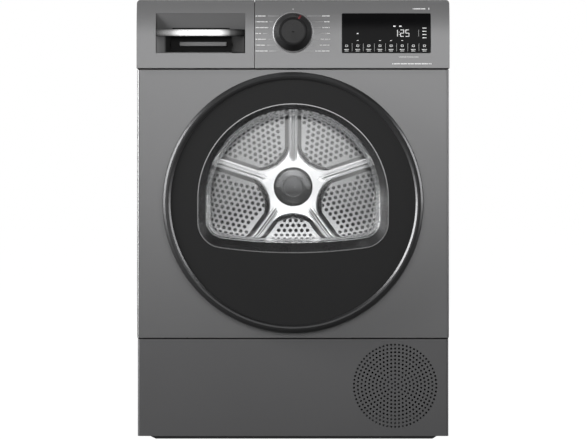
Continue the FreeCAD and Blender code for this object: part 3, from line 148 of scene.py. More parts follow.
# ---------------------------------------------------------------- levelling feet
# Four injection-moulded pads on threaded steel stems, screwed up into bosses of the base tray.
# Dull black rubber compound with a faint mottled bloom.
def coating(name, colour, rough, metal=0.0, coat=0.0, coat_rough=0.1, patch=9.0, tint=0.05,
            grain=1400.0, lift=0.02, rough_swing=0.05, stretch=(1, 1, 1), specular=0.5):
    """Material whose colour drifts in soft patches and whose sheen and relief follow a fine grain.

    patch and grain are in cells per metre; tint is the share by which the colour drifts, lift the
    strength of the relief, rough_swing the drift of the roughness, and stretch draws the grain out.
    """
    material = bpy.data.materials.new(name)
    material.use_nodes = True
    nodes, links = material.node_tree.nodes, material.node_tree.links
    shader = nodes["Principled BSDF"]
    shader.inputs["Metallic"].default_value = metal
    shader.inputs["Coat Weight"].default_value = coat
    shader.inputs["Coat Roughness"].default_value = coat_rough
    shader.inputs["Specular IOR Level"].default_value = specular
    where = nodes.new("ShaderNodeTexCoord")
    drawn = nodes.new("ShaderNodeMapping")
    drawn.inputs["Scale"].default_value = stretch
    links.new(where.outputs["Object"], drawn.inputs["Vector"])
    drift = nodes.new("ShaderNodeTexNoise")
    drift.inputs["Scale"].default_value = patch
    drift.inputs["Detail"].default_value = 4
    links.new(where.outputs["Object"], drift.inputs["Vector"])
    fine = nodes.new("ShaderNodeTexNoise")
    fine.inputs["Scale"].default_value = grain
    fine.inputs["Detail"].default_value = 3
    links.new(drawn.outputs["Vector"], fine.inputs["Vector"])
    both = nodes.new("ShaderNodeMath")
    both.operation = "ADD"
    links.new(drift.outputs["Fac"], both.inputs[0])
    links.new(fine.outputs["Fac"], both.inputs[1])
    shades = nodes.new("ShaderNodeValToRGB")
    dark = [c * (1 - tint) for c in colour]
    light = [min(1.0, c * (1 + tint)) for c in colour]
    shades.color_ramp.elements[0].position = 0.3
    shades.color_ramp.elements[0].color = (*dark, 1)
    shades.color_ramp.elements[1].position = 0.7
    shades.color_ramp.elements[1].color = (*light, 1)
    halve = nodes.new("ShaderNodeMath")
    halve.operation = "MULTIPLY"
    halve.inputs[1].default_value = 0.5
    links.new(both.outputs[0], halve.inputs[0])
    links.new(halve.outputs[0], shades.inputs["Fac"])
    links.new(shades.outputs["Color"], shader.inputs["Base Color"])
    sheen = nodes.new("ShaderNodeMapRange")
    sheen.inputs["From Min"].default_value = 0.3
    sheen.inputs["From Max"].default_value = 0.7
    sheen.inputs["To Min"].default_value = max(0.02, rough - rough_swing)
    sheen.inputs["To Max"].default_value = min(1.0, rough + rough_swing)
    links.new(halve.outputs[0], sheen.inputs["Value"])
    links.new(sheen.outputs["Result"], shader.inputs["Roughness"])
    relief = nodes.new("ShaderNodeBump")
    relief.inputs["Strength"].default_value = lift
    relief.inputs["Distance"].default_value = 0.0004
    links.new(fine.outputs["Fac"], relief.inputs["Height"])
    links.new(relief.outputs["Normal"], shader.inputs["Normal"])
    return material


def dress(material, *nodes):
    """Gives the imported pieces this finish."""
    for node in nodes:
        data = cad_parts[node]
        for holder in data.material_slots:
            holder.material = material


rubber = coating("foot_rubber", (0.022, 0.022, 0.023), 0.72, patch=60, tint=0.2, grain=900, lift=0.15)
dress(rubber, "foot_front_left", "foot_front_right", "foot_rear_left", "foot_rear_right")


# ---------------------------------------------------------------- base tray, pump and heat pump
# Polypropylene floor moulding and air channel, a black compressor can, copper lines and fin stacks.
# They are clipped and screwed together on the tray before the drum goes in.
moulding = coating("grey_polypropylene", (0.30, 0.30, 0.31), 0.5, patch=14, tint=0.06, grain=1100,
                   lift=0.12)
dress(moulding, "base_tray", "air_channel", "drawer_housing", "blower_housing", "blower_wheel")
black_moulding = coating("black_moulding", (0.02, 0.02, 0.021), 0.45, patch=20, tint=0.15, grain=1300,
                         lift=0.12)
dress(black_moulding, "fan_shroud", "condensate_pump", "latch_catch", "idler_pulley", "rear_fittings")
can_paint = coating("compressor_paint", (0.015, 0.015, 0.016), 0.25, coat=0.5, patch=25, tint=0.2,
                    grain=500, lift=0.2)
dress(can_paint, "compressor")
fins = coating("bare_aluminium", (0.62, 0.63, 0.64), 0.34, metal=1.0, patch=30, tint=0.08, grain=2200,
               lift=0.1, stretch=(1, 1, 0.05))
dress(fins, "heat_exchangers")
fan_plastic = coating("fan_plastic", (0.05, 0.05, 0.052), 0.4, patch=22, tint=0.1, grain=1000, lift=0.1)
dress(fan_plastic, "cooling_fan")


# ---------------------------------------------------------------- side panels and front panel
# Deep-drawn sheet steel, 1.5 mm, powder coated in a fine cast-iron grey with metal flake.
# The sides are screwed to the rear sheet and hook into the folded front panel.
casing_paint = coating("casing_paint", (0.225, 0.225, 0.228), 0.36, metal=0.72, coat=0.12, coat_rough=0.3,
                       patch=3.0, tint=0.035, grain=2600, lift=0.035, rough_swing=0.02)
dress(casing_paint, "right_side_panel", "left_side_panel", "front_panel")


# ---------------------------------------------------------------- rear panel
# Galvanised sheet with louvres, held by zinc-plated screws; the spangle of the zinc shows.
zinc = coating("galvanised_sheet", (0.42, 0.43, 0.44), 0.42, metal=0.9, patch=70, tint=0.12, grain=240,
               lift=0.05, rough_swing=0.1)
dress(zinc, "rear_panel", "motor_housing", "rear_screws")
# The duct behind the drum's perforations is made near black: painted shade that keeps the holes dark; the
# duct itself is galvanised sheet.
duct_painted_shade = coating("duct_painted_shade", (0.05, 0.05, 0.052), 0.5, patch=30, tint=0.1, grain=900, lift=0.08)
dress(duct_painted_shade, "rear_duct")


def smooth_piece(name, mesh, material, body, slot, *replaced):
    """Turns a bmesh into a smooth-shaded piece that rides on a body."""
    bmesh.ops.recalc_face_normals(mesh, faces=mesh.faces)
    data = bpy.data.meshes.new(name)
    mesh.to_mesh(data)
    mesh.free()
    for face in data.polygons:
        face.use_smooth = True
    data.materials.append(material)
    piece = bpy.data.objects.new(name, data)
    bpy.context.scene.collection.objects.link(piece)
    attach(piece, body)
    if replaced:
        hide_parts(*replaced)
    return piece


# ---------------------------------------------------------------- throat and seals
# Glass-filled plastic shield round the loading opening, felt and rubber seals, a clear lamp lens.
# The shield is screwed to the back of the front panel and carries the drum's rollers.
throat_plastic = coating("throat_plastic", (0.34, 0.345, 0.35), 0.38, patch=16, tint=0.05, grain=1000,
                         lift=0.1)
dress(throat_plastic, "throat", "lint_filter")
felt = coating("seal_felt", (0.12, 0.12, 0.125), 0.95, patch=90, tint=0.3, grain=1800, lift=0.6,
               rough_swing=0.03)
dress(felt, "seals")
zinc_steel = coating("zinc_plated_steel", (0.55, 0.55, 0.56), 0.3, metal=1.0, patch=35, tint=0.08,
                     grain=1500, lift=0.06)
dress(zinc_steel, "throat_fittings", "drum_shaft", "motor_mounts", "motor_rotor", "tensioner_arm",
      "door_fittings", "hinge_bracket")
dress(rubber, "left_roller", "right_roller", "drive_belt")


# ---------------------------------------------------------------- drum
# Rolled and pressed stainless steel; the back is perforated between five raised spokes.
# The back is spot-welded to the shell and bolted to the stub shaft.
drum_steel = coating("drum_steel", (0.40, 0.40, 0.406), 0.36, metal=1.0, patch=14, tint=0.04, grain=1700,
                     lift=0.05, rough_swing=0.05, stretch=(1, 1, 0.15))
dress(drum_steel, "drum_back")
shell_steel = coating("shell_steel", (0.20, 0.20, 0.203), 0.34, metal=1.0, patch=14, tint=0.04, grain=1700,
                      lift=0.05, rough_swing=0.05, stretch=(1, 0.15, 1))
dress(shell_steel, "drum_shell")
lifter_plastic = coating("lifter_plastic", (0.36, 0.36, 0.37), 0.35, patch=18, tint=0.06, grain=1100,
                         lift=0.1)
dress(lifter_plastic, "drum_lifters")
hub_mirror = coating("hub_mirror", (0.075, 0.075, 0.077), 0.12, metal=1.0, patch=25, tint=0.03, grain=300,
                     lift=0.0, rough_swing=0.01)
dress(hub_mirror, "drum_hub_cover")

# The star pressed into the back: a flat centre, five ribbed spokes and rounded flanks between them.
# The flanks get a darker, smoother colour than the top: painted shade standing in for the dark reflections
# on the drawn walls.
back_low, back_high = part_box("drum_back")
DRUM_AXIS_Z = (back_low.z + back_high.z) / 2
STAR_FRONT = back_low.y - 0.0009
STAR_DEEP = 0.0092
STAR_HUB = 0.0575
STAR_INNER, STAR_REACH = 0.040, 0.262
STAR_SPREAD = 1.25
SPOKES = 5
SPOKE_HALF = 0.0088
SPOKE_MELT = 0.034
FLANK_HUB, FLANK_SPOKE = 0.0125, 0.0085
FLANK_TURN, FLANK_TURN_RUN = 0.062, 0.035
FLANK_START, FLANK_END = 0.16, 0.92
STAR_MARGIN, STAR_LIMIT = 1.2, 1.25
RIB_FADE = 0.02
RIB_HALF, RIB_LIFT = 0.0042, 0.0028
BEAD_PLACE, BEAD_HALF, BEAD_LIFT = 0.0068, 0.0018, 0.0009


def star_gap(reach, turn):
    """Distance outside the star's flat top at a polar place, and the distance across its spoke."""
    pitch = 2 * math.pi / SPOKES
    lean = (turn - math.pi / 2 + pitch / 2) % pitch - pitch / 2
    across = abs(reach * math.sin(lean))
    hub, spoke = reach - STAR_HUB, across - SPOKE_HALF
    melt = max(SPOKE_MELT - abs(hub - spoke), 0.0) / SPOKE_MELT
    return min(hub, spoke) - melt ** 2 * SPOKE_MELT / 4, across


def star_point(reach, turn):
    """Point of the pressing at a polar place, and how far it lies outside the flat top."""
    gap, across = star_gap(reach, turn)
    outward = min(max((reach - FLANK_TURN) / FLANK_TURN_RUN, 0.0), 1.0)
    flank = FLANK_HUB + (FLANK_SPOKE - FLANK_HUB) * outward
    fall = min(max(gap / flank, 0.0), STAR_LIMIT)
    depth = STAR_DEEP * (1 - math.cos(math.pi * min(fall, 1.0))) / 2 + STAR_DEEP * max(fall - 1.0, 0.0)
    fade = min(max((reach - STAR_HUB) / RIB_FADE, 0.0), 1.0)
    rib = RIB_LIFT * fade * max(0.0, math.cos(min(across / RIB_HALF, 1.0) * math.pi / 2)) ** 1.5
    bead = BEAD_LIFT * fade * max(0.0, 1 - abs(across - BEAD_PLACE) / BEAD_HALF)
    y = STAR_FRONT + depth - rib - bead
    return (reach * math.cos(turn), y, DRUM_AXIS_Z + reach * math.sin(turn)), gap / flank


STAR_TURNS, STAR_RINGS = 900, 74
star = bmesh.new()
sloping = set()
star_rows = []
for ring in range(STAR_RINGS):
    reach = STAR_INNER + (STAR_REACH - STAR_INNER) * (ring / (STAR_RINGS - 1)) ** STAR_SPREAD
    row = []
    for k in range(STAR_TURNS):
        place, gap = star_point(reach, 2 * math.pi * k / STAR_TURNS)
        row.append(star.verts.new(place) if gap < STAR_MARGIN else None)
        if row[-1] and FLANK_START < gap < FLANK_END:
            sloping.add(row[-1])
    star_rows.append(row)
for inner, outer in zip(star_rows, star_rows[1:]):
    for k in range(STAR_TURNS):
        n = (k + 1) % STAR_TURNS
        corners = (inner[k], inner[n], outer[n], outer[k])
        if None not in corners:
            face = star.faces.new(corners)
            face.material_index = int(sum(corner in sloping for corner in corners) >= 3)
loose = [v for v in star.verts if not v.link_faces]
bmesh.ops.delete(star, geom=loose, context="VERTS")
star_steel = coating("star_steel", (0.82, 0.82, 0.83), 0.30, metal=1.0, patch=14, tint=0.03, grain=1500,
                     lift=0.03, rough_swing=0.03)
# Same steel as the top, painted darker: painted shade for the flanks.
flank_painted_shade = coating("flank_painted_shade", (0.20, 0.20, 0.203), 0.20, metal=1.0, patch=14, tint=0.03, grain=1500,
                      lift=0.03, rough_swing=0.03)
pressing = smooth_piece("drum_star", star, star_steel, "drum", "drum_steel")
# The second slot, used by the flank faces, holds the painted shade.
pressing.data.materials.append(flank_painted_shade)
sheet_metal = pressing.modifiers.new("sheet", "SOLIDIFY")
sheet_metal.thickness = 0.0006
sheet_metal.offset = 0



def bridge(mesh, rings):
    """Quads between each ring of vertices and the next."""
    for one, other in zip(rings, rings[1:]):
        for k in range(len(one)):
            n = (k + 1) % len(one)
            mesh.faces.new((one[k], one[n], other[n], other[k]))


# A shallow bead pressed into the hub cover, a little over half way out.
HUB_BEAD, BEAD_WIDE, BEAD_TALL = 0.0225, 0.0016, 0.0007
BEAD_SIDES, BEAD_TURNS = 12, 96
cover = bmesh.new()
cover.from_mesh(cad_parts["drum_hub_cover"].data)
cover_skin = BVHTree.FromBMesh(cover)
cover.free()
cover_y = cover_skin.ray_cast(Vector((HUB_BEAD, -1.0, DRUM_AXIS_Z)), Vector((0, 1, 0)))[0].y
bead = bmesh.new()
bead_rings = []
for k in range(BEAD_SIDES):
    turn = 2 * math.pi * k / BEAD_SIDES
    reach = HUB_BEAD + BEAD_WIDE * math.cos(turn)
    y = cover_y - BEAD_TALL * math.sin(turn)
    bead_rings.append([bead.verts.new((reach * math.cos(a), y, DRUM_AXIS_Z + reach * math.sin(a)))
                       for a in (2 * math.pi * n / BEAD_TURNS for n in range(BEAD_TURNS))])
bridge(bead, bead_rings + bead_rings[:1])
smooth_piece("hub_bead", bead, hub_mirror, "drum", "hub_steel")

# The drum lamp in the roof of the throat, and two studio fills inside the drum, above and below.
# The fills aren't parts of the machine; without them the back reads dark through the window.
drum_low, drum_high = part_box("drum_shell")
axis_z = (drum_low.z + drum_high.z) / 2
drum_mid_y = (drum_low.y + drum_high.y) / 2
drum_back_y = drum_high.y
throat_y = drum_low.y - 0.01
soft_panel("drum_lamp", (0, throat_y, axis_z + 0.13), (0, drum_back_y, axis_z), 0.30, 0.06, 0.20)
soft_panel("drum_roof_lamp", (0, drum_mid_y + 0.06, axis_z + 0.24), (0, drum_back_y, axis_z - 0.10),
           0.34, 0.10, 0.22)
soft_panel("drum_floor_lamp", (0, throat_y, axis_z - 0.15), (0, drum_back_y, axis_z - 0.13),
           0.30, 0.05, 0.46)


# ---------------------------------------------------------------- plinth
# Injection-moulded cover below the front panel, painted to match, with a round air grille.
# It clips to the base tray; a dark strip closes the gap to the floor.
plinth_paint = coating("plinth_paint", (0.166, 0.166, 0.169), 0.4, metal=0.65, coat=0.1, coat_rough=0.3,
                       patch=3.5, tint=0.03, grain=2400, lift=0.04, rough_swing=0.02)
dress(plinth_paint, "plinth_panel")
dress(black_moulding, "base_strip")


# ---------------------------------------------------------------- door
# Lacquered ring round a dark gloss face; a glossy funnel leads to the clear bowl of the window.
# Ring, face and funnel are clamped against the inner frame, which is screwed on from behind.
ring_lacquer = coating("ring_lacquer", (0.085, 0.085, 0.087), 0.36, metal=0.85, coat=0.12, coat_rough=0.15,
                       patch=5, tint=0.04, grain=2600, lift=0.03, rough_swing=0.02)
dress(ring_lacquer, "door_ring")
dark_face = coating("dark_face", (0.024, 0.024, 0.0245), 0.42, patch=4, tint=0.06, grain=1800,
                    lift=0.015, rough_swing=0.03, specular=0.16)
dress(dark_face, "door_panel")
funnel_gloss = coating("funnel_gloss", (0.24, 0.24, 0.243), 0.27, metal=0.9, coat=0.3, coat_rough=0.06,
                       patch=8, tint=0.05, grain=1500, lift=0.01, rough_swing=0.03)
dress(funnel_gloss, "window_bezel", "door_grip")
frame_plastic = coating("inner_frame_plastic", (0.33, 0.335, 0.34), 0.42, patch=12, tint=0.05, grain=1100,
                        lift=0.1)
dress(frame_plastic, "door_frame")
clear = coating("clear_bowl", (0.97, 0.98, 0.98), 0.03, coat_rough=0.2, patch=6, tint=0.01, grain=60,
                lift=0.01, rough_swing=0.01)
# The wall hardly bends the light; its clear coat gives the reflections of glass.
for socket, value in (("Transmission Weight", 1.0), ("IOR", 1.01), ("Coat Weight", 1.0), ("Coat IOR", 1.58)):
    clear.node_tree.nodes["Principled BSDF"].inputs[socket].default_value = value

funnel_low, funnel_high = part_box("window_bezel")
WINDOW_HALF = funnel_high.x
WINDOW_CORNER = 0.050
WINDOW_SWEEP = 1.0


ARCH_STEPS, SIDE_STEPS, CORNER_STEPS, SILL_STEPS = 64, 8, 14, 40
CORNER_LEAST = 0.012


def window_ring(side, top, low):
    """Points (x, z) round the D-shaped window, drawn in by three margins, anticlockwise from the right."""
    half = WINDOW_HALF - side
    arch = funnel_high.z - top - half
    corner = max(WINDOW_CORNER - side, CORNER_LEAST)
    sweep = funnel_low.z + low + WINDOW_SWEEP
    cx = half - corner
    cz = sweep - math.sqrt((WINDOW_SWEEP - corner) ** 2 - cx ** 2)
    lean = math.atan2(cx, sweep - cz)
    points = []
    for k in range(ARCH_STEPS):
        turn = math.pi * k / ARCH_STEPS
        points.append((half * math.cos(turn), arch + half * math.sin(turn)))
    points += [(-half, arch + (cz - arch) * k / SIDE_STEPS) for k in range(SIDE_STEPS)]
    for k in range(CORNER_STEPS):
        turn = math.pi + (math.pi / 2 - lean) * k / CORNER_STEPS
        points.append((-cx + corner * math.cos(turn), cz + corner * math.sin(turn)))
    for k in range(SILL_STEPS):
        turn = -lean + 2 * lean * k / SILL_STEPS
        points.append((WINDOW_SWEEP * math.sin(turn), sweep - WINDOW_SWEEP * math.cos(turn)))
    for k in range(CORNER_STEPS):
        turn = -math.pi / 2 + lean + (math.pi / 2 - lean) * k / CORNER_STEPS
        points.append((cx + corner * math.cos(turn), cz + corner * math.sin(turn)))
    points += [(half, cz + (arch - cz) * k / SIDE_STEPS) for k in range(SIDE_STEPS)]
    return points


bowl_low, bowl_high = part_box("window_bowl")
BOWL_WALL = 0.003
DOME = -0.0030
DOME_RISE = 0.043
BOWL_DRAFT, BOWL_ROUND = 0.0045, 0.008
BOWL_SIDE, BOWL_TOP, BOWL_LOW = 0.0145, 0.0105, 0.0185
BOWL_TURN, BOWL_SKEW = 0.0185, 0.004
bowl = bmesh.new()
bowl_rings = []


def bowl_ring(y, side, top, low, shrink=1.0, middle=(0, 0)):
    """One ring of the bowl's skin; shrink draws it towards the middle of the floor."""
    points = [(middle[0] + (x - middle[0]) * shrink, middle[1] + (z - middle[1]) * shrink)
              for x, z in window_ring(side, top, low)]
    bowl_rings.append([bowl.verts.new((x, y, z)) for x, z in points])


def bowl_skin(wall, rim, order):
    """Rings of one skin from the rim to the middle of the domed floor, or back."""
    back = bowl_high.y - wall
    middle = (0, (funnel_low.z + funnel_high.z) / 2 + DOME_RISE)
    rings = []
    for share in (0.0, 0.25, 0.5, 0.75, 0.9):
        y = rim + (back - BOWL_ROUND - rim) * share
        draft = wall + BOWL_DRAFT * share
        rings.append((y, BOWL_SIDE + draft, BOWL_TOP + draft, BOWL_LOW + draft, 1.0, middle))
    for step in range(1, 8):
        turn = math.pi / 2 * step / 7
        inset = BOWL_TURN + wall + BOWL_ROUND * (1 - math.cos(turn))
        y = back - BOWL_ROUND + BOWL_ROUND * math.sin(turn)
        rings.append((y, inset, inset - BOWL_SKEW, inset + BOWL_SKEW, 1.0, middle))
    inset = rings[-1][1]
    for share in (0.92, 0.8, 0.66, 0.5, 0.34, 0.18, 0.05):
        y = back + DOME * (1 - share ** 2)
        rings.append((y, inset, inset - BOWL_SKEW, inset + BOWL_SKEW, share, middle))
    for values in rings[::order]:
        bowl_ring(*values)


FLANGE_T = 0.0024
FLANGE_INSET = 0.0042
bowl_skin(0.0, bowl_low.y + FLANGE_T, -1)
bowl_ring(bowl_low.y + FLANGE_T, FLANGE_INSET, FLANGE_INSET, FLANGE_INSET)
bowl_ring(bowl_low.y, FLANGE_INSET, FLANGE_INSET, FLANGE_INSET)
bowl_skin(BOWL_WALL, bowl_low.y, 1)
bridge(bowl, bowl_rings)
bowl.faces.new(bowl_rings[0])
bowl.faces.new(bowl_rings[-1])
smooth_piece("clear_bowl", bowl, clear, "door", "clear_plastic", "window_bowl")


# ---------------------------------------------------------------- control panel
# ABS moulding in a finely metallic lacquer, crowned and leaning back at its top edge.
# It clips over the front of the worktop and the top of the front panel.
fascia_lacquer = coating("fascia_lacquer", (0.235, 0.235, 0.238), 0.34, metal=0.72, coat=0.15,
                         coat_rough=0.25, patch=3, tint=0.03, grain=2800, lift=0.03, rough_swing=0.02)
dress(fascia_lacquer, "control_fascia", "drawer_front")


def surface_of(*nodes):
    """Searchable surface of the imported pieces, for laying print on them."""
    mesh = bmesh.new()
    for node in nodes:
        mesh.from_mesh(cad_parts[node].data)
    tree = BVHTree.FromBMesh(mesh)
    mesh.free()
    return tree


fascia_skin = surface_of("control_fascia", "display_window")
PRINT_LIFT = 0.00012


def on_fascia(x, z):
    """Point of the panel's face at a width and a height."""
    hit = fascia_skin.ray_cast(Vector((x, -1.0, z)), Vector((0, 1, 0)))[0]
    return hit - Vector((0, PRINT_LIFT, 0))


def print_bar(mesh, x0, z0, x1, z1, thick):
    """Adds a printed stroke from one point of the face to another, thick across."""
    start, end = Vector((x0, 0, z0)), Vector((x1, 0, z1))
    run = end - start
    side = Vector((-run.z, 0, run.x)).normalized() * thick / 2
    corners = [start - side, end - side, end + side, start + side]
    front = [mesh.verts.new(on_fascia(c.x, c.z)) for c in corners]
    back = [mesh.verts.new(v.co + Vector((0, PRINT_LIFT * 1.5, 0))) for v in front]
    mesh.faces.new(front)
    mesh.faces.new(back[::-1])
    for k in range(4):
        mesh.faces.new((front[k], back[k], back[(k + 1) % 4], front[(k + 1) % 4]))


KNOB_Z = (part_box("programme_knob")[0].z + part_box("programme_knob")[1].z) / 2
ROW_PITCH = 0.01119
ROW_TOP = KNOB_Z + 0.0317
LABEL_EDGE = 0.0714
LABEL_THICK, LEADER_THICK = 0.0018, 0.0005
LABEL_STEP, LETTER_GAP, WORD_GAP = 0.0021, 0.00035, 0.0011
RING_CLEAR, LEADER_CLEAR = 0.0405, 0.0015
label_lengths = [(0.021, 0.016), (0.024, 0.012), (0.0265, 0.0155), (0.012, 0.009), (0.023, 0.019),
                 (0.0195, 0.0205), (0.0235, 0.029)]
marks = bmesh.new()
leaders = bmesh.new()
for row, (left_long, right_long) in enumerate(label_lengths):
    z = ROW_TOP - row * ROW_PITCH
    for side, long in ((-1, left_long), (1, right_long)):
        reach, step = 0.0, LABEL_STEP
        while reach < long - step:
            gap = LETTER_GAP if int(reach / step + row + side) % 4 else WORD_GAP
            x = side * (LABEL_EDGE - reach) if side < 0 else LABEL_EDGE - long + reach
            print_bar(marks, x, z, x + step - gap, z, LABEL_THICK)
            reach += step
        inner = math.sqrt(max(0.0, RING_CLEAR ** 2 - (z - KNOB_Z) ** 2))
        start = LABEL_EDGE - long - 0.002
        if start > inner + 0.002:
            print_bar(leaders, side * start, z, side * (inner + LEADER_CLEAR), z, LEADER_THICK)
print_bar(marks, -0.0012, KNOB_Z + 0.0452, 0.0012, KNOB_Z + 0.0452, 0.0012)
panel_low, panel_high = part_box("display_window")
# Plain broken bars round the display: inset from its right edge, length, height and thickness.
panel_bars = ((0.0735, 0.0750, panel_low.z - 0.0205, 0.0021),
              (0.0610, 0.0375, panel_low.z - 0.0075, 0.0008),
              (0.0340, 0.0255, panel_high.z + 0.0088, 0.0022),
              (0.0040, 0.0030, panel_high.z + 0.0088, 0.0040))
for inset, long, z, thick in panel_bars:
    reach, step = 0.0, 0.0027
    while reach < long - step / 2:
        gap = 0.00045 if int(reach / step) % 5 else 0.0013
        x = panel_high.x - inset + reach
        print_bar(marks, x, z, x + step - gap, z, thick)
        reach += step


def add_glow(material, strength):
    """Gives a finish a white light of its own."""
    shader = material.node_tree.nodes["Principled BSDF"]
    shader.inputs["Emission Color"].default_value = (1, 1, 1, 1)
    shader.inputs["Emission Strength"].default_value = strength


# The inks get a faint glow of their own, painted light that keeps the fine strokes readable.
white_ink_painted_glow = coating("white_ink_painted_glow", (0.80, 0.80, 0.80), 0.5, patch=300, tint=0.05, grain=5000, lift=0.05)
grey_ink_painted_glow = coating("grey_ink_painted_glow", (0.62, 0.62, 0.62), 0.5, patch=300, tint=0.05, grain=5000, lift=0.05)
add_glow(white_ink_painted_glow, 0.28)
add_glow(grey_ink_painted_glow, 0.10)
smooth_piece("programme_marks", marks, white_ink_painted_glow, "root", "fascia_grey")
smooth_piece("programme_leaders", leaders, grey_ink_painted_glow, "root", "fascia_grey")


# ---------------------------------------------------------------- display
# Tinted gloss window over the segment display and the touch fields; the glowing parts are LEDs.
# The window is bonded into the panel; digits and pictograms are generic.
display_gloss = coating("display_gloss", (0.005, 0.005, 0.0055), 0.16, patch=20, tint=0.1, grain=900,
                        lift=0.004, rough_swing=0.02, specular=0.07)
dress(display_gloss, "display_window")
board = coating("circuit_board", (0.02, 0.12, 0.05), 0.4, patch=60, tint=0.3, grain=700, lift=0.1)
dress(board, "control_electronics")

glow_light = coating("led_white", (0.85, 0.85, 0.85), 0.4, patch=200, tint=0.05, grain=3000, lift=0.02)
add_glow(glow_light, 0.38)
lights = bmesh.new()
DIGIT_H, DIGIT_W, STROKE = 0.0125, 0.0062, 0.0011
SEGMENTS = {"1": "bc", "2": "abged", "5": "afgcd"}


def digit(figure, x, z):
    """Seven-segment figure with its lower left corner at x, z."""
    w, h, half = DIGIT_W, DIGIT_H, DIGIT_H / 2
    strokes = {
        "a": (0, h, w, h), "b": (w, half, w, h), "c": (w, 0, w, half), "d": (0, 0, w, 0),
        "e": (0, 0, 0, half), "f": (0, half, 0, h), "g": (0, half, w, half),
    }
    for letter in SEGMENTS[figure]:
        x0, z0, x1, z1 = strokes[letter]
        print_bar(lights, x + x0, z + z0, x + x1, z + z1, STROKE)


digits_x = panel_low.x + 0.1045
digits_z = panel_low.z + 0.0318
digit("1", digits_x - 0.0045, digits_z)
digit("2", digits_x + 0.0075, digits_z)
digit("5", digits_x + 0.0175, digits_z)
for dot_z in (0.0035, 0.0085):
    print_bar(lights, digits_x + 0.0042, digits_z + dot_z, digits_x + 0.0054, digits_z + dot_z, 0.0012)

# Each touch field has a small outline over two bars, and a thin line divides it from the next.
FIELDS, FIELD_START, FIELD_PITCH = 8, 0.0090, 0.02125
ICON_HALF, ICON_TALL, ICON_LINE = 0.0022, 0.0032, 0.0007
FIELD_BARS = ((0.0085, 0.0045), (0.0115, 0.0035))
BAR_LINE, DIVIDER_LINE = 0.0009, 0.0005
field_x = [panel_low.x + FIELD_START + k * FIELD_PITCH for k in range(FIELDS)]
field_z = panel_low.z + 0.0155
separators = bmesh.new()
for k, x in enumerate(field_x):
    for z in (field_z, field_z - ICON_TALL):
        print_bar(lights, x - ICON_HALF, z, x + ICON_HALF, z, ICON_LINE)
    for edge in (x - ICON_HALF, x + ICON_HALF):
        print_bar(lights, edge, field_z - ICON_TALL, edge, field_z, ICON_LINE)
    for line, long in FIELD_BARS:
        print_bar(lights, x - long, field_z - line, x + long, field_z - line, BAR_LINE)
    if k + 1 < FIELDS:
        middle = x + 0.0106
        print_bar(separators, middle, field_z - 0.012, middle, field_z + 0.003, DIVIDER_LINE)
# Short marks above four of the fields, two blocks over the digits and a ladder at the right.
for x in (field_x[1], field_x[3], field_x[4], field_x[5]):
    print_bar(lights, x - 0.0018, field_z + 0.0085, x + 0.0018, field_z + 0.0085, BAR_LINE)
for x in (digits_x - 0.004, digits_x + 0.0075):
    print_bar(lights, x - 0.0022, digits_z + 0.0195, x + 0.0022, digits_z + 0.0195, 0.0022)
for line in range(4):
    z = digits_z + 0.016 - line * 0.0062
    print_bar(lights, field_x[7] - 0.0038, z, field_x[7] + 0.0038, z, 0.0013)
print_bar(lights, field_x[1] - 0.0016, digits_z + 0.0055, field_x[1] + 0.0016, digits_z + 0.0055, 0.0018)
print_bar(separators, field_x[7] - 0.0112, digits_z, field_x[7] - 0.0112, digits_z + 0.013, DIVIDER_LINE)
smooth_piece("display_lights", lights, glow_light, "root", "fascia_grey")
# The dividing lines use the grey ink with its painted glow.
smooth_piece("display_separators", separators, grey_ink_painted_glow, "root", "fascia_grey")


# ---------------------------------------------------------------- programme knob
# Two-shot moulded knob, dark satin with a turned, slightly dished face and a red pointer inlay.
# It is pressed on the encoder's spindle inside a bright trim ring bonded to the panel.
knob_satin = coating("knob_satin", (0.022, 0.022, 0.0225), 0.3, patch=40, tint=0.08, grain=1600,
                     lift=0.03, specular=0.26)
dress(knob_satin, "programme_knob")
chrome = coating("satin_chrome", (0.42, 0.42, 0.425), 0.5, metal=0.5, patch=30, tint=0.02, grain=1500,
                 lift=0.006, rough_swing=0.02)
dress(chrome, "knob_ring")

knob_skin = surface_of("programme_knob")
POINTER_LEAN = math.radians(25)
POINTER_HALF = 0.0016
POINTER_START, POINTER_END, POINTER_STEPS = 0.0255, 0.0352, 8
pointer = bmesh.new()
rows = []
for step in range(POINTER_STEPS + 1):
    reach = POINTER_START + (POINTER_END - POINTER_START) * step / POINTER_STEPS
    pair = []
    for across in (-POINTER_HALF, POINTER_HALF):
        x = reach * math.sin(POINTER_LEAN) + across * math.cos(POINTER_LEAN)
        z = KNOB_Z + reach * math.cos(POINTER_LEAN) - across * math.sin(POINTER_LEAN)
        hit = knob_skin.ray_cast(Vector((x, -1.0, z)), Vector((0, 1, 0)))[0]
        pair.append(pointer.verts.new(hit - Vector((0, 0.00015, 0))))
    rows.append(pair)
for lower, upper in zip(rows, rows[1:]):
    pointer.faces.new((lower[0], lower[1], upper[1], upper[0]))
red_inlay = coating("red_inlay", (0.22, 0.009, 0.014), 0.35, patch=200, tint=0.08, grain=2500, lift=0.03)
inlay = smooth_piece("knob_pointer", pointer, red_inlay, "knob", "knob_dark")
rim = inlay.modifiers.new("thickness", "SOLIDIFY")
rim.thickness = 0.0003
rim.offset = 1


# ---------------------------------------------------------------- condensate drawer
# Painted face like the panel's, a satin cup for the fingers and a bright strip to pull on.
# The face is clipped to a polyethylene tank that slides in a sleeve above the drum.
cup_low, cup_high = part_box("handle_cup")
POCKET_START = cup_low.y + 0.0125
RIGHT_WALL = cup_high.x - 0.0265
BROW_EDGE = cup_high.z - 0.0315
cup_paint = coating("cup_paint", (0.21, 0.21, 0.212), 0.5, metal=0.1, patch=10, tint=0.04, grain=2400,
                    lift=0.03)
dress(cup_paint, "handle_cup")


